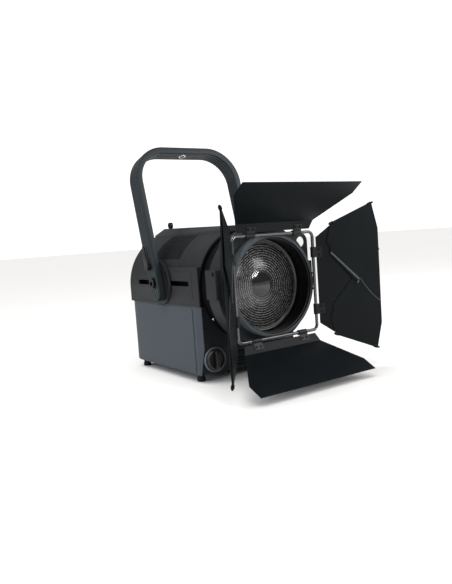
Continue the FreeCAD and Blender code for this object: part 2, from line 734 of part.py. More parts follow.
def accessory_frame():
    """Front plate of the head: round below, with an ear and a round hole at each upper corner."""
    low, top = S.beam_height, S.beam_height + S.ear_top
    half, corner = S.ear_half, S.ear_corner
    ears = [(-half, low, half + 0.1), (half, low), (half, top - corner, corner), (half - corner, top),
            (-half + corner, top, corner), (-half, top - corner)]
    plate = prism("XZ", ears, frame_front, head_front)
    tools = [rod("Y", (0, frame_front - 1, S.beam_height), S.spigot_radius + S.turn_gap, S.frame_wall + 2)]
    lugs = []
    for side in (-1, 1):
        place = (S.ear_hole_x * side, frame_front - 1, S.beam_height + S.ear_hole_z)
        tools.append(rod("Y", place, S.ear_hole, S.frame_wall + 2))
        near, far = (S.latch_half + 0.3) * side, (S.latch_half + 3.3) * side
        x0, x1 = (near, far) if side > 0 else (far, near)
        lugs.append(box(x0, x1, latch_y - S.latch_barrel, head_front, latch_z - 2.6, latch_z + 2.6))
        lugs.append(box(x0, x1, frame_front, head_front, top - 4, latch_z))
    pin = rod("X", (-half, latch_y, latch_z), S.latch_pin + S.slide_gap, half * 2)
    return cut(fuse(plate, *lugs), *tools, pin)


def top_latch():
    """Small flap hinged above the accessory frame that keeps an accessory in."""
    half = S.latch_half
    end = latch_y - S.latch_long
    barrel = rod("X", (-half, latch_y, latch_z), S.latch_barrel, half * 2)
    pin = rod("X", (-half - 3, latch_y, latch_z), S.latch_pin, half * 2 + 6)
    tongue = box(-half, half, end, latch_y, latch_z + 0.8, latch_z + 2.2)
    lip = box(-half, half, end, end + 1.6, latch_z - 2.2, latch_z + 1)
    return fuse(barrel, pin, tongue, lip)


def lens_profile():
    """Half section of the stepped lens, thickest in the middle: distance along Y, then radius."""
    steps = 8
    width = S.lens_radius / steps
    outline = [(dim(0), dim(0)), (dim(0), S.lens_radius), (-S.lens_edge, S.lens_radius),
               (-S.lens_edge, S.lens_radius - 4)]
    for i in range(steps - 1, 0, -1):
        radius = width * i
        outline.append((-S.lens_edge - 1.6, radius))
        outline.append((-S.lens_edge, radius))
    outline.append((-S.lens_edge - 2.4, dim(0)))
    return outline


def fresnel_lens():
    """Lens with concentric steps on its front face."""
    back = ring_front + S.lens_depth + S.lens_edge
    return turned(lens_profile(), back, S.beam_height)


def lens_barrel():
    """Stepped black barrel that carries the lens inside the head."""
    back = ring_front + S.lens_depth + S.lens_edge
    outer = S.lens_radius + S.lens_ring_wide + 2
    seat = rod("Y", (0, back, S.beam_height), outer, 3)
    skirt = rod("Y", (0, back + 3, S.beam_height), outer - 2, head_rear - back - 3)
    bore = rod("Y", (0, back - 1, S.beam_height), S.lens_radius - 5, 60)
    wall = rod("Y", (0, head_rear - S.drum_wall * 2, S.beam_height),
               S.head_radius - S.head_wall - S.panel_gap, S.drum_wall)
    nose_front = head_front + S.turn_gap + 2.8
    nose = rod("Y", (0, nose_front, S.beam_height), outer + 2, back - nose_front)
    nose_bore = rod("Y", (0, nose_front - 1, S.beam_height), S.lens_radius + S.lens_ring_wide + 0.3,
                    back - nose_front + 1)
    return fuse(cut(fuse(seat, skirt, wall), bore), cut(nose, nose_bore))


def lens_ring():
    """Retaining ring round the lens."""
    y = ring_front + S.lens_depth - 2
    outer = S.lens_radius + S.lens_ring_wide
    ring = rod("Y", (0, y, S.beam_height), outer, S.lens_edge + 2)
    room = rod("Y", (0, y + 2, S.beam_height), S.lens_radius, S.lens_edge + 1)
    sight = rod("Y", (0, y - 1, S.beam_height), S.lens_radius - 3, 4)
    return cut(ring, room, sight)


# ---- barn doors ----

def barn_ring():
    """Ring that turns in the accessory frame, with a spigot and a flange behind it."""
    bore = S.ring_bore
    spigot_end = head_front + S.turn_gap
    flange_end = spigot_end + 2
    profile = [(ring_front, bore), (ring_front, S.ring_radius), (ring_rear, S.ring_radius),
               (ring_rear, S.spigot_radius), (spigot_end, S.spigot_radius),
               (spigot_end, S.spigot_flange), (flange_end, S.spigot_flange), (flange_end, bore)]
    shifted = [(dim(y), dim(r)) for y, r in profile]
    return turned(shifted, dim(0), S.beam_height)


def rod_frame():
    """Square frame of round rod with bent corners, on eight short stand-offs from the ring."""
    half, bend, thick = S.rod_half, S.rod_corner, S.rod_radius
    long = (half - bend) * 2
    parts = []
    for side in (-1, 1):
        parts.append(rod("X", (-half + bend, rod_y, S.beam_height + half * side), thick, long))
        parts.append(rod("Z", (half * side, rod_y, S.beam_height - half + bend), thick, long))
    for i, (x, z) in enumerate(((1, 1), (-1, 1), (-1, -1), (1, -1))):
        corner = doc.addObject("Part::Torus", "corner")
        corner.Placement = Placement(Vector(), Rotation(Vector(1, 0, 0), 90))
        bind(corner, "Radius1", bend)
        bind(corner, "Radius2", thick)
        centre = ((half - bend) * x, rod_y, S.beam_height + (half - bend) * z)
        for letter, place in zip("xyz", centre):
            bind(corner, f"Placement.Base.{letter}", place)
        reach = bend + thick + 1
        cx, cz = centre[0], centre[2]
        xs = (cx, cx + reach) if x > 0 else (cx - reach, cx)
        zs = (cz, cz + reach) if z > 0 else (cz - reach, cz)
        quarter = box(xs[0], xs[1], rod_y - reach, rod_y + reach, zs[0], zs[1])
        parts.append(common(corner, quarter))
    for side in (-1, 1):
        for place in (-18, 18):
            parts.append(rod("Y", (place, rod_y, S.beam_height + (half - 2) * side), 2.5, S.rod_ahead))
            parts.append(rod("Y", ((half - 2) * side, rod_y, S.beam_height + place), 2.5, S.rod_ahead))
    return fuse(*parts)


def folded_leaf(up):
    """Top (up 1) or bottom (up -1) leaf about a hinge on the X axis, its plate lying level ahead."""
    wall = S.leaf_wall / 2
    run, rise = cosine(S.fold_angle), sine(S.fold_angle) * up
    fold_y, fold_z = -(S.fold_at * run), S.fold_at * rise
    edge_y = fold_y - (S.leaf_long - S.fold_at)
    start_y, start_z = -(S.leaf_start * run), S.leaf_start * rise
    lean = wall * sine(S.fold_angle) * up
    off = wall * run
    mitre = wall * sine(S.fold_angle / 2) / cosine(S.fold_angle / 2) * up
    outline = [(start_y + lean, start_z + off), (fold_y + mitre, fold_z + wall),
               (edge_y, fold_z + wall), (edge_y, fold_z - wall),
               (fold_y - mitre, fold_z - wall), (start_y - lean, start_z - off)]
    bent = prism("YZ", outline, -S.wide_half - 5, S.wide_half + 5)
    wide_y = fold_y - (S.wide_at - S.fold_at)
    back = start_y + 5
    plan = [(S.hinge_half, back), (S.fold_half, fold_y), (S.wide_half, wide_y), (S.edge_half, edge_y - 1),
            (-S.edge_half, edge_y - 1), (-S.wide_half, wide_y), (-S.fold_half, fold_y),
            (-S.hinge_half, back)]
    return common(bent, prism("XY", plan, -60, 60))


def clip(axis, place, face):
    """One hinge clip about a hinge line: a barrel on the rod and a tab on the face side of the leaf."""
    half = S.clip_half
    wall = S.leaf_wall / 2
    bore_radius = S.rod_radius + S.clip_gap
    low, high = place - half, place + half
    if axis == "X":
        barrel = rod("X", (low, 0, 0), S.clip_radius, half * 2)
        bore = rod("X", (low - 1, 0, 0), bore_radius, half * 2 + 2)
    else:
        barrel = rod("Z", (0, 0, low), S.clip_radius, half * 2)
        bore = rod("Z", (0, 0, low - 1), bore_radius, half * 2 + 2)
    near, far = -S.clip_tab, -bore_radius
    thick = 1.4
    inner, outer = (wall, wall + thick) if face > 0 else (-wall - thick, -wall)
    if axis == "X":
        tab = box(low, high, near, far, inner, outer)
    else:
        tab = box(inner, outer, near, far, low, high)
    return cut(fuse(barrel, tab), bore)


def place_leaf(obj, up, degrees):
    """Turn a top or bottom leaf or its clips to rest and put it on its rod."""
    spin = Rotation(Vector(1, 0, 0), -up * degrees.value)
    obj.Placement = Placement(Vector(0, rod_y.value, (S.beam_height + S.rod_half * up).value), spin)
    return obj


def place_side(obj, side, degrees):
    """Turn a side leaf, its clips or its flap to rest and put it on its rod."""
    spin = Rotation(Vector(0, 0, 1), side * degrees.value)
    obj.Placement = Placement(Vector((S.rod_half * side).value, rod_y.value, S.beam_height.value), spin)
    return obj


def tip_line():
    """Ends of a flap's hinge line in a side leaf's plane: distance ahead of the rod, then height."""
    return ((S.side_bend_at, S.side_bend_half), (S.side_tip_at, S.side_tip_half))


def side_leaf(side):
    """Side leaf about a hinge on the Z axis, with knuckles for its two flap rods."""
    wall = S.leaf_wall / 2
    inset = S.flap_rod + 0.9
    bend, tip, edge = S.side_bend_at, S.side_tip_at, S.side_long
    outline = [(-S.leaf_start, -S.hinge_half), (-S.leaf_start, S.hinge_half),
               (-bend, S.side_bend_half - inset), (-tip, S.side_tip_half - inset),
               (-edge, S.side_edge_half), (-edge, -S.side_edge_half),
               (-tip, -S.side_tip_half + inset), (-bend, -S.side_bend_half + inset)]
    plate = prism("YZ", outline, -wall, wall)
    outers, bores = [], []
    for up in (-1, 1):
        for start in (2, hinge_length() - S.knuckle_long - 2):
            outers.append(along_tip(up, start, S.knuckle_long, S.knuckle_radius, 0))
        bores.append(along_tip(up, -5, hinge_length() + 10, S.flap_rod + S.knuckle_gap, 0))
    return cut(fuse(plate, *outers), *bores)


def hinge_length():
    """Length of a flap's hinge line."""
    (y0, z0), (y1, z1) = tip_line()
    return root((y1 - y0) * (y1 - y0) + (z1 - z0) * (z1 - z0))


def tip_turn(up):
    """Rotation that takes +Z to the direction of the upper or lower flap's hinge line."""
    (y0, z0), (y1, z1) = tip_line()
    way = Vector(0, -(y1 - y0).value, (z1 - z0).value * up)
    return Rotation(Vector(0, 0, 1), way)


def along_tip(up, start, length, radius, shift):
    """Cylinder on a flap's hinge line, starting so far along it and shifted along X."""
    (y0, z0), (y1, z1) = tip_line()
    whole = hinge_length()
    share = dim(start) / whole
    obj = doc.addObject("Part::Cylinder", "knuckle")
    obj.Placement = Placement(Vector(), tip_turn(up))
    bind(obj, "Radius", radius)
    bind(obj, "Height", length)
    bind(obj, "Placement.Base.x", shift)
    bind(obj, "Placement.Base.y", -(y0 + (y1 - y0) * share))
    bind(obj, "Placement.Base.z", (z0 + (z1 - z0) * share) * up)
    return obj


def flap(side, up):
    """Corner flap folded in over the beam side of a side leaf, with its hinge rod."""
    wall = S.flap_wall
    x = -(S.flap_rod - wall / 2) * side
    bend_y, bend_z = S.side_bend_at, S.side_bend_half
    tip_y, tip_z = S.side_tip_at, S.side_tip_half
    clear = S.clip_place - 5
    outline = [(-tip_y, tip_z * up), (-bend_y - 2, bend_z * up), (dim(-34), (bend_z - 41) * up),
               (dim(-43), (bend_z - 54) * up), (dim(-40), clear * up),
               (dim(-105.6), dim(-13.8 * up), 200 * up),
               (-S.side_long, clear * up, 190 * up)]
    low, high = (x - wall / 2, x + wall / 2)
    sheet_metal = prism("YZ", outline, low, high)
    long = hinge_length()
    hinge = along_tip(up, 0, long + S.flap_rod_over, S.flap_rod, 0)
    rooms = [along_tip(up, 1.5, S.knuckle_long + 1, S.knuckle_radius + 0.4, 0),
             along_tip(up, long - S.knuckle_long - 2.5, S.knuckle_long + 6, S.knuckle_radius + 0.4, 0)]
    return fuse(cut(sheet_metal, *rooms), hinge)


def lift_flap(obj, up, degrees):
    """Turn a flap about its own hinge line by a few degrees away from the leaf."""
    (y0, z0), (y1, z1) = tip_line()
    centre = Vector(0, -y0.value, z0.value * up)
    axis = Vector(0, -(y1 - y0).value, (z1 - z0).value * up)
    spin = Rotation(axis, degrees)
    obj.Placement = Placement(centre - spin.multVec(centre), spin)
    return group(obj)


# ---- yoke ----

yoke_inner = S.yoke_half - S.yoke_thick


def yoke():
    """Arched yoke of flat bar, upright about the tilt axis, with pivot, lock and hanging holes."""
    half, bend, thick = S.yoke_half, S.yoke_bend, S.yoke_thick
    deep = S.yoke_deep / 2
    top, foot = S.yoke_reach, -S.yoke_foot
    arch = [(-half, foot), (-half + thick, foot), (-half + thick, top - bend, -(bend - thick)),
            (-half + bend, top - thick), (half - bend, top - thick, -(bend - thick)),
            (half - thick, top - bend), (half - thick, foot), (half, foot),
            (half, top - bend, bend), (half - bend, top),
            (-half + bend, top, bend), (-half, top - bend)]
    bar = prism("XZ", arch, -deep, deep)
    long = half * 2 + 2
    tools = [rod("X", (-half - 1, 0, 0), S.pivot_radius + S.pivot_gap, long),
             rod("X", (-half - 1, 0, S.lock_radius), S.lock_stud + S.slide_gap, long),
             rod("Z", (0, 0, top - thick - 1), S.bolt_hole, thick + 2)]
    ends = []
    for side in (-1, 1):
        x = (half - thick / 2) * side
        lower = box(x - thick, x + thick, -deep - 1, deep + 1, foot - 1, foot + deep)
        round_end = rod("X", (x - thick, 0, foot + deep), deep, thick * 2)
        ends.append(cut(lower, round_end))
    return cut(bar, *tools, *ends)


def on_tilt_axis(obj):
    """Lean a piece of the yoke back and put it on the tilt axis."""
    spin = Rotation(Vector(1, 0, 0), -S.yoke_lean.value)
    obj.Placement = Placement(Vector(0, 0, S.slot_height.value), spin)
    return obj


def pivot_bolts():
    """A bolt each side through the yoke, the tilt disc and the slide block."""
    bolts = []
    inner = block_face - S.block_thick
    for side in (-1, 1):
        x0 = inner if side > 0 else -S.yoke_half
        shank = rod("X", (x0, 0, 0), S.pivot_radius, S.yoke_half - inner)
        x1 = S.yoke_half if side > 0 else -S.yoke_half - S.pivot_head_long
        head = rod("X", (x1, 0, 0), S.pivot_head, S.pivot_head_long)
        socket_start = x1 + 2.5 if side > 0 else x1 - 1
        socket = rod("X", (socket_start, 0, 0), 7, S.pivot_head_long - 1.5)
        bolts.append(cut(fuse(shank, head), socket))
    return group(*bolts)


def tilt_discs():
    """Disc each side between drum and yoke, with an arc slot for the tilt lock."""
    discs = []
    for side in (-1, 1):
        start = S.drum_radius + S.disc_gap
        x0 = start if side > 0 else -start - S.disc_thick
        disc = rod("X", (x0, 0, S.slot_height), S.disc_radius, S.disc_thick)
        neck_long = start - block_face
        x1 = block_face if side > 0 else -start
        neck = box(x1, x1 + neck_long, -S.slot_width, S.slot_width, S.slot_height - S.slot_width / 2 + 0.3,
                   S.slot_height + S.slot_width / 2 - 0.3)
        bore = rod("X", (-S.yoke_half, 0, S.slot_height), S.pivot_radius + S.slide_gap, S.yoke_half * 2)
        discs.append(cut(fuse(disc, neck), bore))
    return group(*discs)


def slide_blocks():
    """Block each side behind the balance slot."""
    blocks = []
    half = S.block_length / 2
    thick = S.block_thick
    for side in (-1, 1):
        x0, x1 = (block_face - thick, block_face) if side > 0 else (-block_face, -block_face + thick)
        block = box(x0, x1, -half, half, S.slot_height - 12, S.slot_height + 12)
        bore = rod("X", (-S.yoke_half, 0, S.slot_height), S.pivot_radius + S.slide_gap, S.yoke_half * 2)
        blocks.append(cut(block, bore))
    return group(*blocks)


def tilt_lock_lever():
    """Clamping lever on the left leg: stud, hub and an upright handle."""
    hub_out = 12
    x = -S.yoke_half - hub_out
    stud = rod("X", (x, 0, S.lock_radius), S.lock_stud, S.yoke_thick + hub_out - 0.5)
    hub = rod("X", (x, 0, S.lock_radius), S.lock_hub, hub_out - 0.3)
    handle = [(-5, S.lock_radius), (5, S.lock_radius), (4, S.lock_radius + S.lever_long - 4, 4.5),
              (-4, S.lock_radius + S.lever_long - 4)]
    bar = prism("YZ", handle, x, x + 7)
    return fuse(stud, hub, bar)


def tilt_lock_knob():
    """Round clamping knob on the right leg."""
    hub_out = 16
    stud = rod("X", (yoke_inner + 0.5, 0, S.lock_radius), S.lock_stud, S.yoke_thick + hub_out - 0.5)
    hub = rod("X", (S.yoke_half + 0.3, 0, S.lock_radius), S.knob_hub, hub_out - 0.3)
    return fuse(stud, hub)


# ---- works ----

def focus_knob():
    """Focus knob: flange, round grip and a finger bar across it."""
    face = front - 1
    flange = rod("Y", (-S.focus_x, face - 4, S.focus_z), S.focus_radius, 4)
    grip = rod("Y", (-S.focus_x, front - S.focus_out + 5, S.focus_z), S.focus_grip, S.focus_out - 8)
    bar = box(-S.focus_x - 5, -S.focus_x + 5, front - S.focus_out, front - 3,
              S.focus_z - S.focus_grip, S.focus_z + S.focus_grip)
    bore = rod("Y", (-S.focus_x, face - 4 - 1, S.focus_z), S.screw_shaft, 8)
    return cut(fuse(flange, grip, bar), bore)


def lead_screw():
    """Lead screw from the focus knob back to the rear bulkhead."""
    stop = rear - S.bulkhead_rear + 6
    return rod("Y", (-S.focus_x, front - 5, S.focus_z), S.screw_shaft, stop - front + 5)


def screw_bearings():
    """Flanged bush for the lead screw in each bulkhead."""
    bushes = []
    for y in (front + S.bulkhead_front, rear - S.bulkhead_rear):
        bush = rod("Y", (-S.focus_x, y, S.focus_z), S.screw_shaft + 3, S.sheet_wall)
        flange = rod("Y", (-S.focus_x, y + S.sheet_wall, S.focus_z), S.screw_shaft + 6, 2)
        bore = rod("Y", (-S.focus_x, y - 1, S.focus_z), S.screw_shaft + S.slide_gap, 8)
        bushes.append(cut(fuse(bush, flange), bore))
    return group(*bushes)


def guide_rods():
    """Two rods between the bulkheads that carry the led module."""
    start = front + S.bulkhead_front
    long = S.base_depth - S.bulkhead_front - S.bulkhead_rear + S.sheet_wall
    return group(*[rod("Y", (S.rod_x * side, start, S.rod_z), S.guide_radius, long) for side in (-1, 1)])


def led_carriage():
    """Carriage plate with two bushes on the guide rods and an arm with the lead screw's nut."""
    y = -S.led_y
    thick = 4
    wide = S.rod_x + 14
    low = S.rod_z - 12
    plate = box(-wide, wide, y, y + thick, low, S.rod_z + 12)
    upper = box(-S.led_half, S.led_half, y, y + thick, S.rod_z, S.beam_height + S.led_half)
    bushes = [rod("Y", (S.rod_x * side, y - 8, S.rod_z), S.guide_radius + 5, 24) for side in (-1, 1)]
    arm = box(-S.focus_x - 9, -S.focus_x + 9, y, y + thick, S.focus_z - 10, low + 2)
    nut = rod("Y", (-S.focus_x, y - 6, S.focus_z), S.screw_shaft + 5, 16)
    tools = [rod("Y", (-S.focus_x, y - 10, S.focus_z), S.screw_shaft + S.slide_gap, 40)]
    for side in (-1, 1):
        tools.append(rod("Y", (S.rod_x * side, y - 10, S.rod_z), S.guide_radius + S.slide_gap, 40))
    return cut(fuse(plate, upper, arm, nut, *bushes), *tools)


def led_heatsink():
    """Finned heatsink behind the carriage plate."""
    y = -S.led_y + 4
    half = S.led_half - 2
    block = box(-half, half, y, y + S.sink_length, S.beam_height - half, S.beam_height + half)
    tools = []
    for i in range(-5, 6):
        x = i * S.fin_pitch
        tools.append(box(x - S.fin_room, x + S.fin_room, y + S.sink_base, y + S.sink_length + 1,
                         S.beam_height - half - 1, S.beam_height + half + 1))
    return cut(block, *tools)


def led_array():
    """Led board with its round emitter."""
    y = -S.led_y
    half = S.led_board_half
    board = box(-half, half, y - 2, y, S.beam_height - half, S.beam_height + half)
    emitter = rod("Y", (0, y - 5, S.beam_height), S.emitter_radius, 3)
    return fuse(board, emitter)


def fan_frame():
    """Square frame of the cooling fan behind the heatsink."""
    y = -S.led_y + 4 + S.sink_length
    half = S.led_half - 2
    block = box(-half, half, y, y + S.fan_length, S.beam_height - half, S.beam_height + half)
    mouth = rod("Y", (0, y - 1, S.beam_height), half - 3, S.fan_length + 2)
    hub = rod("Y", (0, y + 1, S.beam_height), 16, 3)
    spokes = [box(-half + 1, half - 1, y + 1, y + 4, S.beam_height - 3, S.beam_height + 3),
              box(-3, 3, y + 1, y + 4, S.beam_height - half + 1, S.beam_height + half - 1)]
    return fuse(cut(block, mouth), hub, *spokes)


def fan_rotor():
    """Fan hub with seven slanted blades."""
    y = -S.led_y + 4 + S.sink_length + 6
    hub = rod("Y", (0, y, S.beam_height), S.fan_hub, S.fan_hub_long)
    reach = S.led_half - 8
    blades = []
    for i in range(BLADES):
        blade = box(-1, 1, -9, 9, 10, reach)
        turn = Rotation(Vector(0, 1, 0), 360 * i / BLADES)
        pitch = Rotation(Vector(0, 0, 1), S.blade_angle.value)
        blade.setExpression("Placement.Base.x", None)
        blade.setExpression("Placement.Base.y", None)
        blade.setExpression("Placement.Base.z", None)
        both = turn.multiply(pitch)
        start = both.multVec(Vector(-1, -9, 10))
        centre = Vector(0, (y + 8).value, S.beam_height.value)
        blade.Placement = Placement(centre + start, both)
        blades.append(blade)
    return fuse(hub, *blades)


def power_supply():
    """Cased power supply on the base pan."""
    low = S.base_floor + S.sheet_wall
    return box(-S.supply_left, S.supply_right, -S.supply_front, S.supply_rear, low, low + S.supply_high)


def control_board():
    """Circuit board behind the display, on the rear bulkhead."""
    start = rear - S.bulkhead_rear + S.sheet_wall
    board = box(-58, 118, start + 8, start + 9.6, S.panel_z - 26, S.panel_z + 26)
    posts = [rod("Y", (x, start, S.panel_z + z), 3, 8) for x in (-52, 112) for z in (-21, 21)]
    return fuse(board, *posts)


def display_window():
    """Display with a bezel set into the rear panel."""
    half = S.display_half - S.panel_gap
    y = panel_face - S.sheet_wall - 4
    tall = S.display_tall - S.panel_gap
    body = box(-half, half, y, panel_face + 1, S.panel_z - tall, S.panel_z + tall)
    screen = box(-half + 5, half - 5, panel_face, panel_face + 2, S.panel_z - 12, S.panel_z + 12)
    return cut(body, screen)


def round_sockets(first, pitch, radius, out, bore):
    """Two round chassis sockets with square flanges, open to the rear."""
    sockets = []
    back = panel_face - socket_back
    for i in range(2):
        x = first - i * pitch
        body = rod("Y", (x, back, S.socket_z), radius - S.panel_gap, socket_back + 0.5)
        flange = box(x - radius - 2, x + radius + 2, panel_face, panel_face + out,
                     S.socket_z - radius - 3, S.socket_z + radius + 3)
        hole = rod("Y", (x, panel_face - 16, S.socket_z), bore, 30)
        sockets.append(cut(fuse(body, flange), hole))
    return group(*sockets)


def fuse_holder():
    """Fuse holder with a round cap."""
    body = rod("Y", (-S.fuse_x, panel_face - socket_back, S.socket_z), S.fuse_radius - 0.3, socket_back)
    cap = rod("Y", (-S.fuse_x, panel_face, S.socket_z), S.fuse_radius + 1.5, 7)
    return fuse(body, cap)


def menu_knob():
    """Small rotary knob on the rear panel, with its shaft."""
    shaft = rod("Y", (-S.menu_x, panel_face - 12, S.menu_z), 3.5, 14)
    cap = rod("Y", (-S.menu_x, panel_face + 1, S.menu_z), S.menu_radius, S.menu_out - 1)
    return fuse(shaft, cap)


def button(i):
    """Push button with a stem behind the rear panel."""
    x = S.button_x + i * S.button_pitch
    face = rod("Y", (x, panel_face - S.sheet_wall - 1, S.panel_z), S.button_radius,
               S.sheet_wall + 1 + S.button_out)
    collar = rod("Y", (x, panel_face - S.sheet_wall - 2, S.panel_z), S.button_radius + 1.5, 1.2)
    return fuse(face, collar)


# ---- build every node ----

node("base_pan", base_pan())
for name, side in SIDES:
    node(f"side_panel_{name}", side_panel(side))
node("base_front_panel", base_front_panel())
node("rear_panel", rear_panel())
node("rubber_feet", rubber_feet())
node("case_screws", case_screws())
node("side_casting_right", drum_side())
node("side_casting_left", mirrored(drum_side()))
node("mesh_inserts", group(mesh_insert(), mirrored(mesh_insert())))
node("top_cover", top_cover())
node("safety_eye", safety_eye())
node("rear_cap", rear_cap())
node("neck_sleeve", neck_sleeve())
node("head_casting", head_casting())
node("accessory_frame", accessory_frame())
node("top_latch", top_latch())
node("fresnel_lens", fresnel_lens())
node("lens_barrel", lens_barrel())
node("lens_ring", lens_ring())
node("barn_ring", barn_ring())
node("rod_frame", rod_frame())
for name, up, opened in (("top", 1, S.top_open), ("bottom", -1, S.bottom_open)):
    node(f"leaf_{name}", place_leaf(folded_leaf(up), up, opened))
    clips = group(*[clip("X", S.clip_place * side, -up) for side in (-1, 1)])
    node(f"hinge_clips_{name}", place_leaf(clips, up, opened + S.fold_angle))
for name, side in SIDES:
    opened = S.right_open if side > 0 else S.left_open
    node(f"leaf_{name}", place_side(side_leaf(side), side, opened))
    clips = group(*[clip("Z", S.clip_place * up, -side) for up in (-1, 1)])
    node(f"hinge_clips_{name}", place_side(clips, side, opened))
    node(f"flap_{name}_lower", place_side(flap(side, -1), side, opened))
    lifted = lift_flap(flap(side, 1), 1, -S.flap_lift.value * side)
    node(f"flap_{name}_upper", place_side(lifted, side, opened))
node("yoke", on_tilt_axis(yoke()))
node("pivot_bolts", on_tilt_axis(pivot_bolts()))
node("tilt_lock_lever", on_tilt_axis(tilt_lock_lever()))
node("tilt_lock_knob", on_tilt_axis(tilt_lock_knob()))
node("tilt_discs", tilt_discs())
node("slide_blocks", slide_blocks())
node("focus_knob", focus_knob())
node("lead_screw", lead_screw())
node("screw_bearings", screw_bearings())
node("guide_rods", guide_rods())
node("led_carriage", led_carriage())
node("led_heatsink", led_heatsink())
node("led_array", led_array())
node("fan_frame", fan_frame())
node("fan_rotor", fan_rotor())
node("power_supply", power_supply())
node("control_board", control_board())
node("display_window", display_window())
node("power_sockets", round_sockets(S.power_x, S.power_pitch, S.power_radius, 2, dim(11)))
node("dmx_sockets", round_sockets(S.dmx_x, S.dmx_pitch, S.dmx_radius, 2, dim(9.5)))
node("fuse_holder", fuse_holder())
node("menu_knob", menu_knob())
for i, name in enumerate(("menu", "up", "down", "enter")):
    node(f"{name}_button", button(i))

doc.recompute()

for obj in doc.Objects:
    if "Invalid" in obj.State or "Error" in obj.State:
        raise RuntimeError(f"{obj.Name} ({obj.Label}) failed: {obj.State}")
os.makedirs("parts", exist_ok=True)
for name, obj in nodes.items():
    shape = obj.Shape
    if shape.isNull() or not shape.isValid() or not shape.Solids:
        raise RuntimeError(f"{name} has no valid shape")
    shape.exportStep(f"parts/{name}.step")
print(f"{len(nodes)} sub-parts written")
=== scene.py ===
"""Looks of a stage fresnel spotlight. Metres, +Z up, the beam points along -Y, X = 0 is the centre plane."""
import json
import math

import bmesh
import bpy
import numpy as np
from mathutils import Matrix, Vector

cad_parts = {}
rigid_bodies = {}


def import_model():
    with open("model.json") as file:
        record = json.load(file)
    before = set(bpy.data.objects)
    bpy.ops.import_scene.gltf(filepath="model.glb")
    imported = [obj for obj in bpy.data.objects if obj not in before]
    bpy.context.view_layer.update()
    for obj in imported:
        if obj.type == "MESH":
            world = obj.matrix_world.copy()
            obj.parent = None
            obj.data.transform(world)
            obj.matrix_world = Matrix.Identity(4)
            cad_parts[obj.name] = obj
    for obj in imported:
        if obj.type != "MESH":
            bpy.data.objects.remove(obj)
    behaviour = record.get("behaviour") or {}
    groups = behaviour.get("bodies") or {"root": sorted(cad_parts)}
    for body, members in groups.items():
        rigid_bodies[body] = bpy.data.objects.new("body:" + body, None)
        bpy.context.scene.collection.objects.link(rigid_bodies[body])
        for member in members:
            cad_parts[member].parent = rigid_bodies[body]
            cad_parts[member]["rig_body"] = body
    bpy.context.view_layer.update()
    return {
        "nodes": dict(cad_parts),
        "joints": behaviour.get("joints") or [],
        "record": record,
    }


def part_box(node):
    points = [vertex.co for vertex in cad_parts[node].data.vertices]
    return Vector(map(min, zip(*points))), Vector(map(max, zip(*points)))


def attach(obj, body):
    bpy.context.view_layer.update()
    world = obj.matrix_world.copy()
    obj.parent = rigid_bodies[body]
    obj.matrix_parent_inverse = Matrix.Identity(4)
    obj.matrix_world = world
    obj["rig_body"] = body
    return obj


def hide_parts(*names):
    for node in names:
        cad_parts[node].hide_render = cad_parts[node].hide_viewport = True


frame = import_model()

MM = 0.001
UP = np.array((0.0, 0.0, 1.0))
ALONG_X = np.array((1.0, 0.0, 0.0))
ALONG_Y = np.array((0.0, 1.0, 0.0))


# ---- places read from the frame ----

def low(node):
    """Lowest corner of a CAD node."""
    return np.array(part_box(node)[0])


def high(node):
    """Highest corner of a CAD node."""
    return np.array(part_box(node)[1])


def middle(node):
    """Centre of a CAD node's box."""
    return (low(node) + high(node)) / 2


JOINTS = {joint["name"]: joint for joint in frame["joints"]}
BEAM = np.array(JOINTS["barn_door_turn"]["pos_m"]) * (1, 0, 1)
RING_FRONT = low("barn_ring")[1]
RING_RADIUS = high("barn_ring")[0]
RING_REAR = high("barn_ring")[1]
DRUM_RADIUS = high("side_casting_right")[0]
DRUM_FRONT = low("side_casting_right")[1]
HEAD_FRONT = low("head_casting")[1]
HEAD_PAD = high("head_casting")[0]
PIVOT = np.array(JOINTS["yoke_tilt"]["pos_m"])
LOCK = np.array(JOINTS["tilt_lever_turn"]["pos_m"])
LEG_OUT = high("yoke")[0]
PANEL_FACE = high("rear_panel")[1]
BODY_OF = {node: piece["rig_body"] for node, piece in frame["nodes"].items()}

# the lens: its middle dome, its curve and the facets from the dome out to a plain rim
LENS_DOME = 27 * MM
LENS_CURVE = 150 * MM
LENS_FACETS = 13
LENS_RIM = 3 * MM
LENS_RADIUS = high("fresnel_lens")[0] - 0.2 * MM
LENS_PITCH = float(LENS_RADIUS - LENS_RIM - LENS_DOME) / LENS_FACETS


# ---- meshes ----

def grid_faces(rows, columns, close_rows=False, close_columns=False):
    """Quads of a rows by columns grid, as one index array; a closed way joins its last line to its first."""
    i = np.arange(rows if close_rows else rows - 1)
    j = np.arange(columns if close_columns else columns - 1)
    i, j = (a.ravel() for a in np.meshgrid(i, j, indexing="ij"))
    i2, j2 = (i + 1) % rows, (j + 1) % columns
    return np.stack((i * columns + j, i2 * columns + j, i2 * columns + j2, i * columns + j2), axis=1)


def tidy_mesh(mesh, merge):
    """Merge doubles, drop empty faces and point the faces outwards."""
    work = bmesh.new()
    work.from_mesh(mesh)
    bmesh.ops.remove_doubles(work, verts=work.verts, dist=merge)
    bmesh.ops.dissolve_degenerate(work, dist=merge / 4, edges=work.edges)
    bmesh.ops.recalc_face_normals(work, faces=work.faces)
    work.to_mesh(mesh)
    work.free()


def smooth(mesh, degrees=38):
    """Smooth shading with sharp edges past an angle."""
    mesh.polygons.foreach_set("use_smooth", [True] * len(mesh.polygons))
    mesh.set_sharp_from_angle(angle=math.radians(degrees))


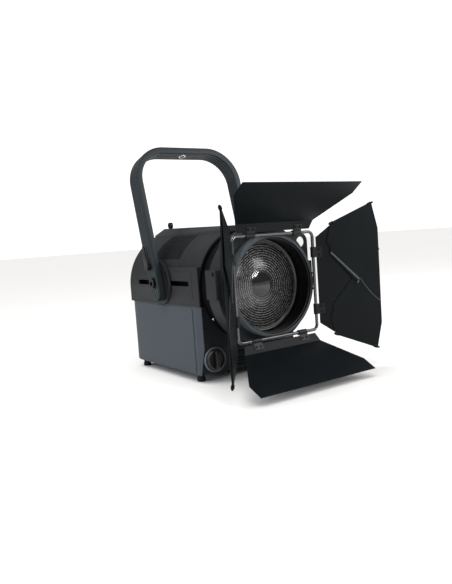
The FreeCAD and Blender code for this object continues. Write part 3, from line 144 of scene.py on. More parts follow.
def piece(name, points, faces, finish, body, replaced=(), merge=2e-6, sharp=38):
    """A finished mesh piece that rides on a body and wears a finish."""
    mesh = bpy.data.meshes.new(name)
    mesh.from_pydata(np.asarray(points, dtype=float).reshape(-1, 3).tolist(), [], np.asarray(faces).tolist())
    tidy_mesh(mesh, merge)
    smooth(mesh, sharp)
    made = bpy.data.objects.new(name, mesh)
    bpy.context.scene.collection.objects.link(made)
    mesh.materials.append(FINISHES[finish])
    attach(made, body)
    if replaced:
        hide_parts(*replaced)
    return made


def joined(parts):
    """Points and faces of several grids as one pair."""
    points, faces, start = [], [], 0
    for some_points, some_faces in parts:
        some_points = np.asarray(some_points, dtype=float).reshape(-1, 3)
        points.append(some_points)
        faces.extend((np.asarray(some_faces) + start).tolist())
        start += len(some_points)
    return np.concatenate(points), faces


def lathe(profile, centre, axis=ALONG_Y, segments=96, ripple=None):
    """Profile rows (along, radius) turned about an axis: centre + along * axis + radius * (cos, sin)."""
    axis = np.asarray(axis, dtype=float) / np.linalg.norm(axis)
    first = np.cross(axis, UP if abs(axis[2]) < 0.9 else ALONG_X)
    first /= np.linalg.norm(first)
    second = np.cross(axis, first)
    turn = np.linspace(0, 2 * math.pi, segments, endpoint=False)
    profile = np.asarray(profile, dtype=float)
    radius = np.repeat(profile[:, 1:2], segments, axis=1)
    if ripple is not None:
        radius = radius + ripple(profile[:, :1], radius, turn[None, :])
    circle = np.cos(turn)[:, None] * first + np.sin(turn)[:, None] * second
    points = np.asarray(centre) + profile[:, 0, None, None] * axis + radius[:, :, None] * circle
    return points, grid_faces(len(profile), segments, close_columns=True)


def closed_lathe(profile, centre, axis=ALONG_Y, segments=96, ripple=None):
    """Lathe of a profile that comes back to its first row, such as a ring."""
    points, _ = lathe(profile, centre, axis, segments, ripple)
    return points, grid_faces(len(profile), segments, close_rows=True, close_columns=True)


def rounded_corner(corner, before, after, radius, steps=5):
    """Points on the curve that rounds a corner: a parabola between its two touching points."""
    corner, before, after = (np.asarray(p, dtype=float) for p in (corner, before, after))
    one, two = before - corner, after - corner
    one, two = one / np.linalg.norm(one), two / np.linalg.norm(two)
    half = math.acos(np.clip(one @ two, -1, 1)) / 2
    reach = radius / math.tan(half)
    t = np.linspace(0, 1, steps)[:, None]
    start, end = corner + one * reach, corner + two * reach
    return (1 - t) ** 2 * start + 2 * t * (1 - t) * corner + t ** 2 * end


def rounded_outline(corners, radius, steps=5, closed=True):
    """Outline with each corner rounded; an open outline keeps its two ends."""
    corners = [np.asarray(c, dtype=float) for c in corners]
    count = len(corners)
    rows = []
    for i, corner in enumerate(corners):
        if not closed and i in (0, count - 1):
            rows.append(corner[None])
            continue
        rows.append(rounded_corner(corner, corners[i - 1], corners[(i + 1) % count], radius, steps))
    return np.concatenate(rows)


def rectangle(width, height, radius, steps=5):
    """Rounded rectangle about the origin."""
    x, y = width / 2, height / 2
    return rounded_outline([(-x, -y), (x, -y), (x, y), (-x, y)], radius, steps)


def loft(path, side, up, sections, closed=False):
    """Section points (a, b) carried along a path: path + a * side + b * up; open ends close on a point."""
    path = np.asarray(path, dtype=float)
    sections = np.asarray(sections, dtype=float)
    if sections.ndim == 2:
        sections = np.repeat(sections[None], len(path), axis=0)
    side = np.broadcast_to(np.asarray(side, dtype=float), path.shape)
    up = np.broadcast_to(np.asarray(up, dtype=float), path.shape)
    points = path[:, None] + sections[:, :, :1] * side[:, None] + sections[:, :, 1:] * up[:, None]
    if closed:
        return points, grid_faces(len(path), sections.shape[1], close_rows=True, close_columns=True)
    ends = points.mean(axis=1, keepdims=True)
    first = np.repeat(ends[:1], sections.shape[1], axis=1)
    last = np.repeat(ends[-1:], sections.shape[1], axis=1)
    points = np.concatenate((first, points, last))
    return points, grid_faces(len(path) + 2, sections.shape[1], close_columns=True)


def slab(outline, origin, across, along, normal, thick, edge):
    """Flat plate: its outline on across and along, carried along the normal and drawn in at both rims."""
    outline = np.asarray(outline, dtype=float)
    centre = outline.mean(axis=0)
    reach = np.linalg.norm(outline - centre, axis=1, keepdims=True)
    shrink = (reach - edge) / reach
    inner = centre + (outline - centre) * shrink
    levels = ((inner, 0), (outline, edge), (outline, thick - edge), (inner, thick))
    sections = np.stack([ring for ring, _ in levels])
    path = np.stack([np.asarray(origin) + np.asarray(normal) * level for _, level in levels])
    return loft(path, across, along, sections)


def dress(node, finish, width=0.5 * MM, sharp=32):
    """A merged copy of a CAD node with softened edges, which stands for it."""
    source = frame["nodes"][node]
    mesh = source.data.copy()
    mesh.name = f"{node}_finished"
    work = bmesh.new()
    work.from_mesh(mesh)
    bmesh.ops.remove_doubles(work, verts=work.verts, dist=2e-6)
    bmesh.ops.dissolve_limit(work, angle_limit=math.radians(0.4), verts=work.verts, edges=work.edges)
    work.to_mesh(mesh)
    work.free()
    smooth(mesh, sharp)
    made = bpy.data.objects.new(f"{node}_finished", mesh)
    bpy.context.scene.collection.objects.link(made)
    mesh.materials.clear()
    mesh.materials.append(FINISHES[finish])
    if width:
        soften = made.modifiers.new("soft_edges", "BEVEL")
        soften.width = width
        soften.segments = 2
        soften.limit_method = "ANGLE"
        soften.angle_limit = math.radians(sharp)
        soften.harden_normals = True
    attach(made, BODY_OF[node])
    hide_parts(node)
    return made


# ---- materials ----

def socket(group, name, kind, way, default=None):
    """One named socket on a node group."""
    made = group.interface.new_socket(name=name, in_out=way, socket_type=f"NodeSocket{kind}")
    if default is not None:
        made.default_value = default
    return made


def new_group(name, inputs, outputs):
    """A shader node group with Vector and number inputs and number outputs."""
    group = bpy.data.node_groups.new(name, "ShaderNodeTree")
    socket(group, "Vector", "Vector", "INPUT")
    for label, default in inputs.items():
        socket(group, label, "Float", "INPUT", default)
    for label in outputs:
        socket(group, label, "Float", "OUTPUT")
    return group, group.nodes.new("NodeGroupInput"), group.nodes.new("NodeGroupOutput")


def noise_node(tree, vector, scale, detail=2.0, roughness=0.5):
    """Noise texture; scale is a number or a socket."""
    node = tree.nodes.new("ShaderNodeTexNoise")
    node.inputs["Detail"].default_value = detail
    node.inputs["Roughness"].default_value = roughness
    tree.links.new(vector, node.inputs["Vector"])
    if isinstance(scale, (int, float)):
        node.inputs["Scale"].default_value = scale
    else:
        tree.links.new(scale, node.inputs["Scale"])
    return node.outputs["Fac"]


def math_node(tree, kind, one, two, three=None):
    """Math node on numbers or sockets."""
    node = tree.nodes.new("ShaderNodeMath")
    node.operation = kind
    for place, value in enumerate((one, two, three)):
        if value is None:
            continue
        if isinstance(value, (int, float)):
            node.inputs[place].default_value = value
        else:
            tree.links.new(value, node.inputs[place])
    return node.outputs[0]


def ramp_node(tree, value, low_stop, high_stop):
    """Map Range from two stops to 0..1, clamped."""
    node = tree.nodes.new("ShaderNodeMapRange")
    tree.links.new(value, node.inputs["Value"])
    node.inputs["From Min"].default_value = low_stop
    node.inputs["From Max"].default_value = high_stop
    return node.outputs["Result"]


def grain_group():
    """Powder coat grain: fine orange peel for the height, slow patches for tone and gloss."""
    group, source, sink = new_group("powder_grain", {"Grain Scale": 1800.0, "Patch Scale": 14.0},
                                    ("Height", "Patches"))
    vector = source.outputs["Vector"]
    fine = noise_node(group, vector, source.outputs["Grain Scale"], 2.5, 0.6)
    patches = noise_node(group, vector, source.outputs["Patch Scale"], 5.0, 0.62)
    group.links.new(fine, sink.inputs["Height"])
    group.links.new(patches, sink.inputs["Patches"])
    return group


def brushed_group():
    """Fine lines stretched along one way, for drawn and turned metal."""
    group, source, sink = new_group("drawn_lines", {"Line Scale": 90.0}, ("Height", "Tone"))
    stretch = group.nodes.new("ShaderNodeMapping")
    stretch.inputs["Scale"].default_value = (14.0, 0.6, 14.0)
    group.links.new(source.outputs["Vector"], stretch.inputs["Vector"])
    lines = noise_node(group, stretch.outputs["Vector"], source.outputs["Line Scale"], 3.0, 0.6)
    tone = noise_node(group, source.outputs["Vector"], 40.0, 3.0, 0.6)
    group.links.new(lines, sink.inputs["Height"])
    group.links.new(tone, sink.inputs["Tone"])
    return group


def stipple_group():
    """Small rounded cells: a mask that rises towards their borders."""
    group, source, sink = new_group("cell_stipple", {"Cell Scale": 260.0}, ("Cells",))
    cells = group.nodes.new("ShaderNodeTexVoronoi")
    cells.feature = "F1"
    group.links.new(source.outputs["Vector"], cells.inputs["Vector"])
    group.links.new(source.outputs["Cell Scale"], cells.inputs["Scale"])
    group.links.new(ramp_node(group, cells.outputs["Distance"], 0.2, 0.75), sink.inputs["Cells"])
    return group


def band(group, value, rise, fall):
    """Mask that climbs between the two stops of rise and drops between the two stops of fall."""
    climbing = ramp_node(group, value, *rise)
    dropping = math_node(group, "SUBTRACT", 1.0, ramp_node(group, value, *fall))
    return math_node(group, "MULTIPLY", climbing, dropping)


def pebble_group():
    """Rings about the beam: pebble bumps on each facet of pressed glass, and a Tone mask of painted
    highlights: bright specks, brightest along a light crest on each facet, with the risers and the dome left
    dark.
    """
    defaults = {"First Ring": 0.030, "Ring Pitch": 0.0085, "Pebbles": 96.0}
    group, source, sink = new_group("pebble_rings_and_painted_glints", defaults, ("Height", "Tone"))
    centred = group.nodes.new("ShaderNodeMapping")
    centred.inputs["Location"].default_value = (-BEAM[0], 0, -BEAM[2])
    group.links.new(source.outputs["Vector"], centred.inputs["Vector"])
    split = group.nodes.new("ShaderNodeSeparateXYZ")
    group.links.new(centred.outputs["Vector"], split.inputs["Vector"])
    x, z = split.outputs["X"], split.outputs["Z"]
    square = math_node(group, "ADD", math_node(group, "MULTIPLY", x, x), math_node(group, "MULTIPLY", z, z))
    radius = math_node(group, "SQRT", square, 0.0)
    beyond = math_node(group, "SUBTRACT", radius, source.outputs["First Ring"])
    steps = math_node(group, "DIVIDE", beyond, source.outputs["Ring Pitch"])
    part = math_node(group, "FRACT", steps, 0.0)
    off_dome = ramp_node(group, radius, 0.026, 0.034)

    stagger = math_node(group, "MULTIPLY", math_node(group, "FLOOR", steps, 0.0), 1.9)
    turn = math_node(group, "ARCTAN2", z, x)
    around = math_node(group, "MULTIPLY_ADD", turn, source.outputs["Pebbles"], stagger)
    pebble = math_node(group, "ABSOLUTE", math_node(group, "SINE", around, 0.0), 0.0)
    cells = group.nodes.new("ShaderNodeTexVoronoi")
    cells.inputs["Scale"].default_value = 430.0
    group.links.new(source.outputs["Vector"], cells.inputs["Vector"])
    chance = math_node(group, "MULTIPLY_ADD", cells.outputs["Distance"], -0.8, 0.8)
    hill = math_node(group, "MULTIPLY_ADD", pebble, 0.25, chance)
    group.links.new(math_node(group, "MULTIPLY", hill, off_dome), sink.inputs["Height"])

    # painted highlights: specks on the pebbles within each facet, lifted along a crest band, stand in for
    # glints of light on the glass
    riser = band(group, part, (0.02, 0.30), (0.80, 0.98))
    painted_glint = math_node(group, "MULTIPLY", ramp_node(group, hill, 0.35, 0.85), riser)
    broken = math_node(group, "MULTIPLY_ADD", ramp_node(group, pebble, 0.2, 0.9), 0.55, 0.45)
    crest = math_node(group, "MULTIPLY", band(group, part, (0.42, 0.62), (0.66, 0.86)), broken)
    lit = math_node(group, "MULTIPLY_ADD", math_node(group, "MULTIPLY", crest, off_dome), 0.84, 0.16)
    tone = math_node(group, "MULTIPLY", math_node(group, "MULTIPLY", painted_glint, off_dome), lit)
    group.links.new(tone, sink.inputs["Tone"])
    return group


GRAIN, DRAWN, STIPPLE, PEBBLES = grain_group(), brushed_group(), stipple_group(), pebble_group()


def blank(name):
    """A new node material: its tree, its Principled shader and Object coordinates."""
    finish = bpy.data.materials.new(name)
    finish.use_nodes = True
    tree = finish.node_tree
    coordinates = tree.nodes.new("ShaderNodeTexCoord")
    return finish, tree, tree.nodes["Principled BSDF"], coordinates.outputs["Object"]


def place_group(tree, group, vector, **values):
    """A node group in a material, with its own values."""
    node = tree.nodes.new("ShaderNodeGroup")
    node.node_tree = group
    tree.links.new(vector, node.inputs["Vector"])
    for name, value in values.items():
        node.inputs[name.replace("_", " ")].default_value = value
    return node


def blend_colours(tree, factor, one, two):
    """Mix of two colours by a factor socket."""
    node = tree.nodes.new("ShaderNodeMix")
    node.data_type = "RGBA"
    tree.links.new(factor, node.inputs["Factor"])
    node.inputs["A"].default_value = (*one, 1)
    node.inputs["B"].default_value = (*two, 1)
    return node.outputs["Result"]


def bump(tree, shader, height, strength, distance):
    """Bump from a height socket into the shader's Normal."""
    node = tree.nodes.new("ShaderNodeBump")
    node.inputs["Strength"].default_value = strength
    node.inputs["Distance"].default_value = distance
    tree.links.new(height, node.inputs["Height"])
    tree.links.new(node.outputs["Normal"], shader.inputs["Normal"])


def varied(colour, amount):
    """A colour made a little darker and a little lighter."""
    return tuple(c * (1 - amount) for c in colour), tuple(c * (1 + amount) for c in colour)


def coated(name, colour, rough, grain=1800.0, depth=0.12, tone=0.14, specular=0.5, coat=0.0):
    """Powder coat or moulded plastic: grain bump, patchy gloss and tone."""
    finish, tree, shader, vector = blank(name)
    powder = place_group(tree, GRAIN, vector, Grain_Scale=grain, Patch_Scale=16.0)
    dark, light = varied(colour, tone)
    base = blend_colours(tree, ramp_node(tree, powder.outputs["Patches"], 0.3, 0.7), dark, light)
    tree.links.new(base, shader.inputs["Base Color"])
    gloss = math_node(tree, "MULTIPLY_ADD", powder.outputs["Patches"], 0.16, rough - 0.08)
    tree.links.new(gloss, shader.inputs["Roughness"])
    shader.inputs["Specular IOR Level"].default_value = specular
    shader.inputs["Coat Weight"].default_value = coat
    bump(tree, shader, powder.outputs["Height"], depth, 0.0004)
    return finish


def metal(name, colour, rough, lines=90.0, depth=0.05):
    """Drawn or plated metal with fine lines and slow tone."""
    finish, tree, shader, vector = blank(name)
    drawn = place_group(tree, DRAWN, vector, Line_Scale=lines)
    dark, light = varied(colour, 0.12)
    base = blend_colours(tree, ramp_node(tree, drawn.outputs["Tone"], 0.3, 0.7), dark, light)
    tree.links.new(base, shader.inputs["Base Color"])
    tree.links.new(math_node(tree, "MULTIPLY_ADD", drawn.outputs["Height"], 0.14, rough - 0.07),
                   shader.inputs["Roughness"])
    shader.inputs["Metallic"].default_value = 1.0
    bump(tree, shader, drawn.outputs["Height"], depth, 0.0002)
    return finish


def pressed_glass():
    """Pressed glass: pebble bumps on the facets and painted highlights in its colour, white specks brightest
    on a light crest of each facet, over dark risers and a smooth dark dome.
    """
    finish, tree, shader, vector = blank("lens_glass")
    pebbles = place_group(tree, PEBBLES, vector, First_Ring=LENS_DOME, Ring_Pitch=LENS_PITCH, Pebbles=150.0)
    # base colour turns white where the Tone mask paints glints and crest highlights
    base = blend_colours(tree, pebbles.outputs["Tone"], (0.02, 0.02, 0.022), (1.0, 1.0, 1.0))
    tree.links.new(base, shader.inputs["Base Color"])
    shader.inputs["Roughness"].default_value = 0.07
    shader.inputs["IOR"].default_value = 1.5
    shader.inputs["Transmission Weight"].default_value = 0.5
    bump(tree, shader, pebbles.outputs["Height"], 0.22, 0.0005)
    return finish


def glowing(name, colour, strength):
    """Phosphor emitter: a soft glow broken by small cells."""
    finish, tree, shader, vector = blank(name)
    stipple = place_group(tree, STIPPLE, vector, Cell_Scale=420.0)
    dark, light = varied(colour, 0.1)
    base = blend_colours(tree, stipple.outputs["Cells"], light, dark)
    tree.links.new(base, shader.inputs["Base Color"])
    tree.links.new(base, shader.inputs["Emission Color"])
    shader.inputs["Emission Strength"].default_value = strength
    shader.inputs["Roughness"].default_value = 0.25
    return finish


# coated: colour, roughness, grain scale, grain depth; metal: colour, roughness, line scale, line depth
FINISHES = {
    "base_grey": coated("base_grey", (0.046, 0.056, 0.068), 0.50, 2200, 0.08, tone=0.05, specular=0.18),
    "front_black": coated("front_black", (0.013, 0.015, 0.018), 0.50, 2000, 0.14, specular=0.16),
    "casting": coated("casting", (0.0200, 0.0210, 0.0225), 0.50, 1500, 0.20, tone=0.10, specular=0.14),
    "cover_plastic": coated("cover_plastic", (0.034, 0.037, 0.04), 0.46, 1700, 0.16, tone=0.1,
                            specular=0.16),
    # the neck sleeve's own black, made near-black as painted shade in the gap between the drum and the head
    "neck_black": coated("neck_black", (0.002, 0.002, 0.002), 0.70, 1600, 0.10, specular=0.08),
    "head_black": coated("head_black", (0.018, 0.0195, 0.0225), 0.48, 1600, 0.18, specular=0.14),
    "leaf_black": coated("leaf_black", (0.0046, 0.0064, 0.0076), 0.42, 2600, 0.08, tone=0.12, specular=0.1),
    # lighter grey of the flap hems: a painted highlight along the flap rims
    "hem_grey": coated("hem_grey", (0.060, 0.068, 0.072), 0.42, 2400, 0.06, specular=0.3),
    "ring_grey": coated("ring_grey", (0.036, 0.044, 0.050), 0.40, 2200, 0.10, tone=0.06, specular=0.22),
    "barrel_black": coated("barrel_black", (0.004, 0.004, 0.0045), 0.42, 1500, 0.12, specular=0.2),
    "bezel_grey": coated("bezel_grey", (0.050, 0.049, 0.046), 0.30, 1800, 0.05, specular=0.5),
    "yoke_grey": coated("yoke_grey", (0.020, 0.026, 0.030), 0.40, 2200, 0.10, tone=0.06, specular=0.18),
    "disc_black": coated("disc_black", (0.010, 0.011, 0.012), 0.38, 1900, 0.10, specular=0.2),
    # near-black: the real black of the lens tabs and pad keepers, and painted shade in the disc slots and
    # behind the drum slots
    "recess_black": coated("recess_black", (0.002, 0.002, 0.002), 0.70, 1500, 0.08, specular=0.1),
    "knob_black": coated("knob_black", (0.009, 0.0095, 0.010), 0.36, 1200, 0.14, specular=0.35),
    "knob_rim": coated("knob_rim", (0.075, 0.088, 0.098), 0.38, 1800, 0.08, specular=0.4),
    "rubber": coated("rubber", (0.008, 0.008, 0.008), 0.75, 1300, 0.25, specular=0.2),
    "rod_dark": coated("rod_dark", (0.010, 0.011, 0.012), 0.16, 900, 0.03, specular=0.9, coat=0.4),
    "clip_dark": coated("clip_dark", (0.006, 0.0065, 0.007), 0.40, 1500, 0.06, specular=0.22),
    "screw_black": metal("screw_black", (0.022, 0.022, 0.023), 0.32),
    "bolt_steel": metal("bolt_steel", (0.50, 0.50, 0.51), 0.26),
    "steel": metal("steel", (0.55, 0.55, 0.56), 0.22),
    "aluminium": metal("aluminium", (0.50, 0.51, 0.52), 0.38, 60.0, 0.1),
    "cone_grey": coated("cone_grey", (0.004, 0.004, 0.004), 0.45, 900, 0.12),
    "lens_glass": pressed_glass(),
    "led_glow": glowing("led_glow", (1.0, 0.96, 0.80), 1.2),
    "led_board": coated("led_board", (0.012, 0.012, 0.012), 0.45, 700, 0.08),
    "fan_black": coated("fan_black", (0.012, 0.012, 0.013), 0.45, 1400, 0.12, specular=0.3),
    "board_green": coated("board_green", (0.02, 0.11, 0.05), 0.35, 600, 0.1, tone=0.3),
    "display_black": coated("display_black", (0.004, 0.005, 0.006), 0.10, 300, 0.01, coat=0.6),
    "socket_blue": coated("socket_blue", (0.025, 0.05, 0.13), 0.42, 1300, 0.12, specular=0.35),
    "button_grey": coated("button_grey", (0.07, 0.07, 0.08), 0.6, 1300, 0.15),
}


# ---- CAD nodes whose shape is right: softened edges and a finish ----

# each node's finish, and the width of its softened edges in millimetres
DRESSED = {
    "base_pan": ("front_black", 0.4), "side_panel_left": ("base_grey", 0.7),
    "side_panel_right": ("base_grey", 0.7), "base_front_panel": ("front_black", 0.5),
    "rear_panel": ("front_black", 0.4), "side_casting_left": ("casting", 0.9),
    "side_casting_right": ("casting", 0.9), "top_cover": ("cover_plastic", 1.2),
    "rear_cap": ("front_black", 0.5), "neck_sleeve": ("neck_black", 0.5),
    "head_casting": ("head_black", 1.6), "accessory_frame": ("head_black", 0.5),
    "lens_barrel": ("barrel_black", 0.4), "guide_rods": ("steel", 0.3),
    "screw_bearings": ("bolt_steel", 0.3),
    "power_supply": ("aluminium", 0.8), "control_board": ("board_green", 0.2),
    "power_sockets": ("socket_blue", 0.5), "dmx_sockets": ("knob_black", 0.5),
    "lead_screw": ("steel", 0.3), "led_carriage": ("front_black", 0.5), "led_heatsink": ("aluminium", 0.2),
    "led_array": ("led_board", 0.3), "fan_frame": ("fan_black", 0.8), "fan_rotor": ("fan_black", 0.5),
    "tilt_discs": ("disc_black", 0.6), "slide_blocks": ("disc_black", 0.6),
    "rod_frame": ("rod_dark", 0.0), "hinge_clips_top": ("clip_dark", 0.25),
    "hinge_clips_bottom": ("clip_dark", 0.25), "hinge_clips_left": ("clip_dark", 0.25),
    "hinge_clips_right": ("clip_dark", 0.25), "leaf_top": ("leaf_black", 0.25),
    "leaf_bottom": ("leaf_black", 0.25), "leaf_left": ("leaf_black", 0.25),
    "leaf_right": ("leaf_black", 0.25),
    "flap_left_upper": ("leaf_black", 0.2), "flap_left_lower": ("leaf_black", 0.2),
    "flap_right_upper": ("leaf_black", 0.2), "flap_right_lower": ("leaf_black", 0.2),
    "top_latch": ("clip_dark", 0.3), "safety_eye": ("screw_black", 0.8),
    "tilt_lock_knob": ("knob_black", 1.0), "fuse_holder": ("knob_black", 0.8),
    "menu_button": ("button_grey", 0.7), "up_button": ("button_grey", 0.7),
    "down_button": ("button_grey", 0.7), "enter_button": ("button_grey", 0.7),
    "display_window": ("display_black", 0.5), "case_screws": ("screw_black", 0.5),
}
for cad_node, (coat_name, edge_mm) in DRESSED.items():
    dress(cad_node, coat_name, edge_mm * MM)


# ---- yoke ----

YOKE_THICK = 17 * MM
YOKE_DEPTH = 43 * MM
YOKE_BEND = 91 * MM - YOKE_THICK / 2
YOKE_FOOT = -45 * MM
FLUTE_DEPTH = 1.1 * MM
FLUTE_WAVES = 4.5
HOLE = [mount for mount in frame["record"]["mounts"] if mount["name"] == "hanging_hole"][0]
HOLE_CENTRE, HOLE_AXIS = np.array(HOLE["pos_m"]), np.array(HOLE["axis"])


def leaned(points):
    """Points drawn upright about the tilt axis, turned about X by the yoke's lean and put on that axis."""
    away = LOCK - PIVOT
    lean = math.atan2(away[1], away[2])
    turn = np.array(Matrix.Rotation(-lean, 3, "X"))
    return points @ turn.T + PIVOT


def yoke_section():
    """Rounded bar section; its broad faces sink by a clipped cosine of the depth, which makes the flutes."""
    outline = rectangle(YOKE_THICK, YOKE_DEPTH, 2.4 * MM, 4)
    dense = []
    for i, start in enumerate(outline):
        end = outline[(i + 1) % len(outline)]
        count = 34 if abs(end[1] - start[1]) > YOKE_DEPTH / 3 else 1
        t = np.linspace(0, 1, count, endpoint=False)[:, None]
        dense.append(start + (end - start) * t)
    dense = np.concatenate(dense)
    on_face = np.abs(np.abs(dense[:, 0]) - YOKE_THICK / 2) < 1e-6
    wave = np.clip(np.cos(dense[:, 1] / YOKE_DEPTH * 2 * math.pi * FLUTE_WAVES), 0, 1) ** 0.7
    dense[:, 0] -= np.sign(dense[:, 0]) * on_face * wave * FLUTE_DEPTH
    return dense


def yoke_bar():
    """The section carried up one leg, round two corner arcs and down the other; half round at both feet."""
    x = LEG_OUT - YOKE_THICK / 2
    top = np.linalg.norm(HOLE_CENTRE - PIVOT)
    ends = YOKE_FOOT + YOKE_DEPTH / 2 * (1 - np.cos(np.linspace(0, math.pi / 2, 14)))
    leg = np.concatenate((ends, np.linspace(ends[-1], top - YOKE_BEND, 20)[1:]))
    arc = np.linspace(0, math.pi / 2, 26)
    path = [np.stack((-np.full_like(leg, x), 0 * leg, leg), axis=1)]
    path.append(np.stack((-x + YOKE_BEND - YOKE_BEND * np.cos(arc), 0 * arc,
                          top - YOKE_BEND + YOKE_BEND * np.sin(arc)), axis=1)[1:])
    cross = np.linspace(-x + YOKE_BEND, x - YOKE_BEND, 12)[1:-1]
    path.append(np.stack((cross, 0 * cross, np.full_like(cross, top)), axis=1))
    whole = np.concatenate(path)
    right = whole[whole[:, 0] < -x + YOKE_BEND + 1e-7][::-1] * (-1, 1, 1)
    whole = np.concatenate((whole, right))
    ahead = np.gradient(whole, axis=0)
    ahead /= np.linalg.norm(ahead, axis=1, keepdims=True)
    outward = np.stack((-ahead[:, 2], 0 * ahead[:, 0], ahead[:, 0]), axis=1)
    up_foot = np.clip((whole[:, 2] - YOKE_FOOT) / (YOKE_DEPTH / 2), 0, 1)
    narrow = np.sqrt(np.clip(1 - (1 - up_foot) ** 2, 0.0004, 1))
    sections = np.repeat(yoke_section()[None], len(whole), axis=0)
    sections[:, :, 1] *= narrow[:, None]
    points, faces = loft(whole, outward, ALONG_Y, sections)
    return leaned(points), faces


def bore_through(target, centre, axis, radius, length):
    """Takes a round plug, centred on a place, out of a piece."""
    points, faces = lathe([(-length / 2, 0), (-length / 2, radius), (length / 2, radius), (length / 2, 0)],
                          centre, axis, 40)
    mesh = bpy.data.meshes.new("cutter")
    mesh.from_pydata(points.reshape(-1, 3).tolist(), [], faces.tolist())
    tidy_mesh(mesh, 1e-6)
    cutter = bpy.data.objects.new("cutter", mesh)
    bpy.context.scene.collection.objects.link(cutter)
    hole = target.modifiers.new("hole", "BOOLEAN")
    hole.operation = "DIFFERENCE"
    hole.object = cutter
    bpy.context.view_layer.update()
    solved = bpy.data.meshes.new_from_object(target.evaluated_get(bpy.context.evaluated_depsgraph_get()))
    target.modifiers.remove(hole)
    target.data = solved
    smooth(solved, 38)
    bpy.data.objects.remove(cutter)


def hole_bush():
    """Plated bush in the hanging hole's inner mouth."""
    profile = [(-8.9, 6.3), (-8.9, 9.5), (-7.6, 10), (-7.6, 6.3)]
    return closed_lathe(np.array(profile) * MM, HOLE_CENTRE, HOLE_AXIS, 48)


yoke_piece = piece("yoke_bar", *yoke_bar(), "yoke_grey", "yoke", ("yoke",))
bore_through(yoke_piece, HOLE_CENTRE, HOLE_AXIS, 6.5 * MM, 60 * MM)
piece("hanging_hole_bush", *hole_bush(), "bolt_steel", "yoke")


def pivot_bolt(side):
    """Low black bolt head with a hexagon recess and a washer, on the leg's outer face."""
    start = PIVOT + ALONG_X * side * (LEG_OUT - 1 * MM)
    head = [(0, 0), (0, 15 * MM), (1.8 * MM, 15 * MM), (2.2 * MM, 14.4 * MM), (2.2 * MM, 12 * MM),
            (6 * MM, 12 * MM), (7 * MM, 11 * MM), (7 * MM, 6.2 * MM), (3 * MM, 6 * MM), (3 * MM, 0)]

    def hexagon(along, radius, turn):
        """Pulls the recess wall in towards a hexagon."""
        inside = (radius < 7 * MM) & (radius > 1 * MM)
        flat = np.cos(math.pi / 6) / np.cos((turn % (math.pi / 3)) - math.pi / 6)
        return np.where(inside, radius * (flat - 1), 0.0)

    return lathe(head, start, ALONG_X * side, 72, hexagon)


def pivot_shank(side):
    """Plain shank through the leg, the disc and the slide block."""
    start = -low("slide_blocks")[0] - 8 * MM
    length = LEG_OUT - 1 * MM - start
    return lathe([(0, 0), (0, 6 * MM), (length, 6 * MM), (length, 0)], PIVOT + ALONG_X * side * start,
                 ALONG_X * side, 40)


piece("pivot_bolt_pair", *joined([pivot_bolt(-1), pivot_bolt(1), pivot_shank(-1), pivot_shank(1)]),
      "screw_black", "yoke", ("pivot_bolts",))


def lever():
    """Clamping lever: a hub, a stud and a handle whose section shrinks along its way to a rounded tip."""
    hub = lathe([(0, 0), (0, 8 * MM), (1 * MM, 8.5 * MM), (10.7 * MM, 8.5 * MM), (11.7 * MM, 7.5 * MM),
                 (11.7 * MM, 0)], LOCK - ALONG_X * (LEG_OUT + 0.3 * MM), -ALONG_X, 48)
    stud = lathe([(0, 0), (0, 4 * MM), (17 * MM, 4 * MM), (17 * MM, 0)],
                 LOCK - ALONG_X * (LEG_OUT - 16.5 * MM), -ALONG_X, 32)
    rise = LOCK - PIVOT
    rise = rise / np.linalg.norm(rise)
    # places along the handle, and half its width and half its depth there
    along = np.array((-4, 0, 14, 22, 26, 40, 49, 52.5, 54)) * MM
    width = np.array((6, 8.2, 8.2, 6.6, 5.2, 4.8, 4.4, 3.2, 1.4)) * MM
    depth = np.array((2.5, 3.5, 3.5, 3.5, 3.3, 3.1, 2.9, 2.2, 1.0)) * MM
    path = LOCK - ALONG_X * (LEG_OUT + 8.2 * MM) + along[:, None] * rise
    unit = rectangle(2, 2, 0.7, 6)
    sections = unit[None] * np.stack((depth, width), axis=1)[:, None]
    handle = loft(path, ALONG_X, np.cross(rise, ALONG_X), sections)
    return joined([hub, stud, handle])


piece("tilt_lever_handle", *lever(), "knob_black", "tilt_lever", ("tilt_lock_lever",))


def disc_rim(side):
    """Raised rim of a tilt disc."""
    outer = 53.8 * MM
    centre = PIVOT * (0, 1, 1) + ALONG_X * side * (high("tilt_discs")[0] - 0.05 * MM)
    profile = [(-0.4 * MM, outer - 2.8 * MM), (0.3 * MM, outer - 2.4 * MM), (0.3 * MM, outer - 0.4 * MM),
               (-0.4 * MM, outer)]
    return closed_lathe(profile, centre, ALONG_X * side, 128)


def arc_slot(side, start, span=62):
    """Thin near-black arc on the tilt disc, painted shade standing in for the dark inside of a slot: a flat
    section carried round from an angle behind straight up.
    """
    face = high("tilt_discs")[0]
    turn = np.radians(np.linspace(start, start + span, 28))
    mid, half = 38.5 * MM, 2.5 * MM
    fade = np.sqrt(np.clip(1 - np.linspace(-1, 1, 28) ** 8, 0.02, 1))
    circle = np.stack((0 * turn, np.sin(turn), np.cos(turn)), axis=1)
    section = np.array(((-1, -0.5), (1, -0.5), (1, 0.12), (-1, 0.12)))
    sections = section[None] * np.stack((half * fade, 0 * fade + 1 * MM), axis=1)[:, None]
    path = PIVOT * (0, 1, 1) + ALONG_X * side * face + circle * mid
    return loft(path, circle, ALONG_X * side, sections)


# near-black bands on the tilt discs: painted shade for the dark inside their arc slots
disc_slots = [arc_slot(side, start) for side in (-1, 1) for start in (-212, -102, 58, 148)]
piece("tilt_disc_rims", *joined([disc_rim(-1), disc_rim(1)]), "disc_black", "balance")
piece("tilt_disc_slot_shade", *joined(disc_slots), "recess_black", "balance")


# ---- drum ----

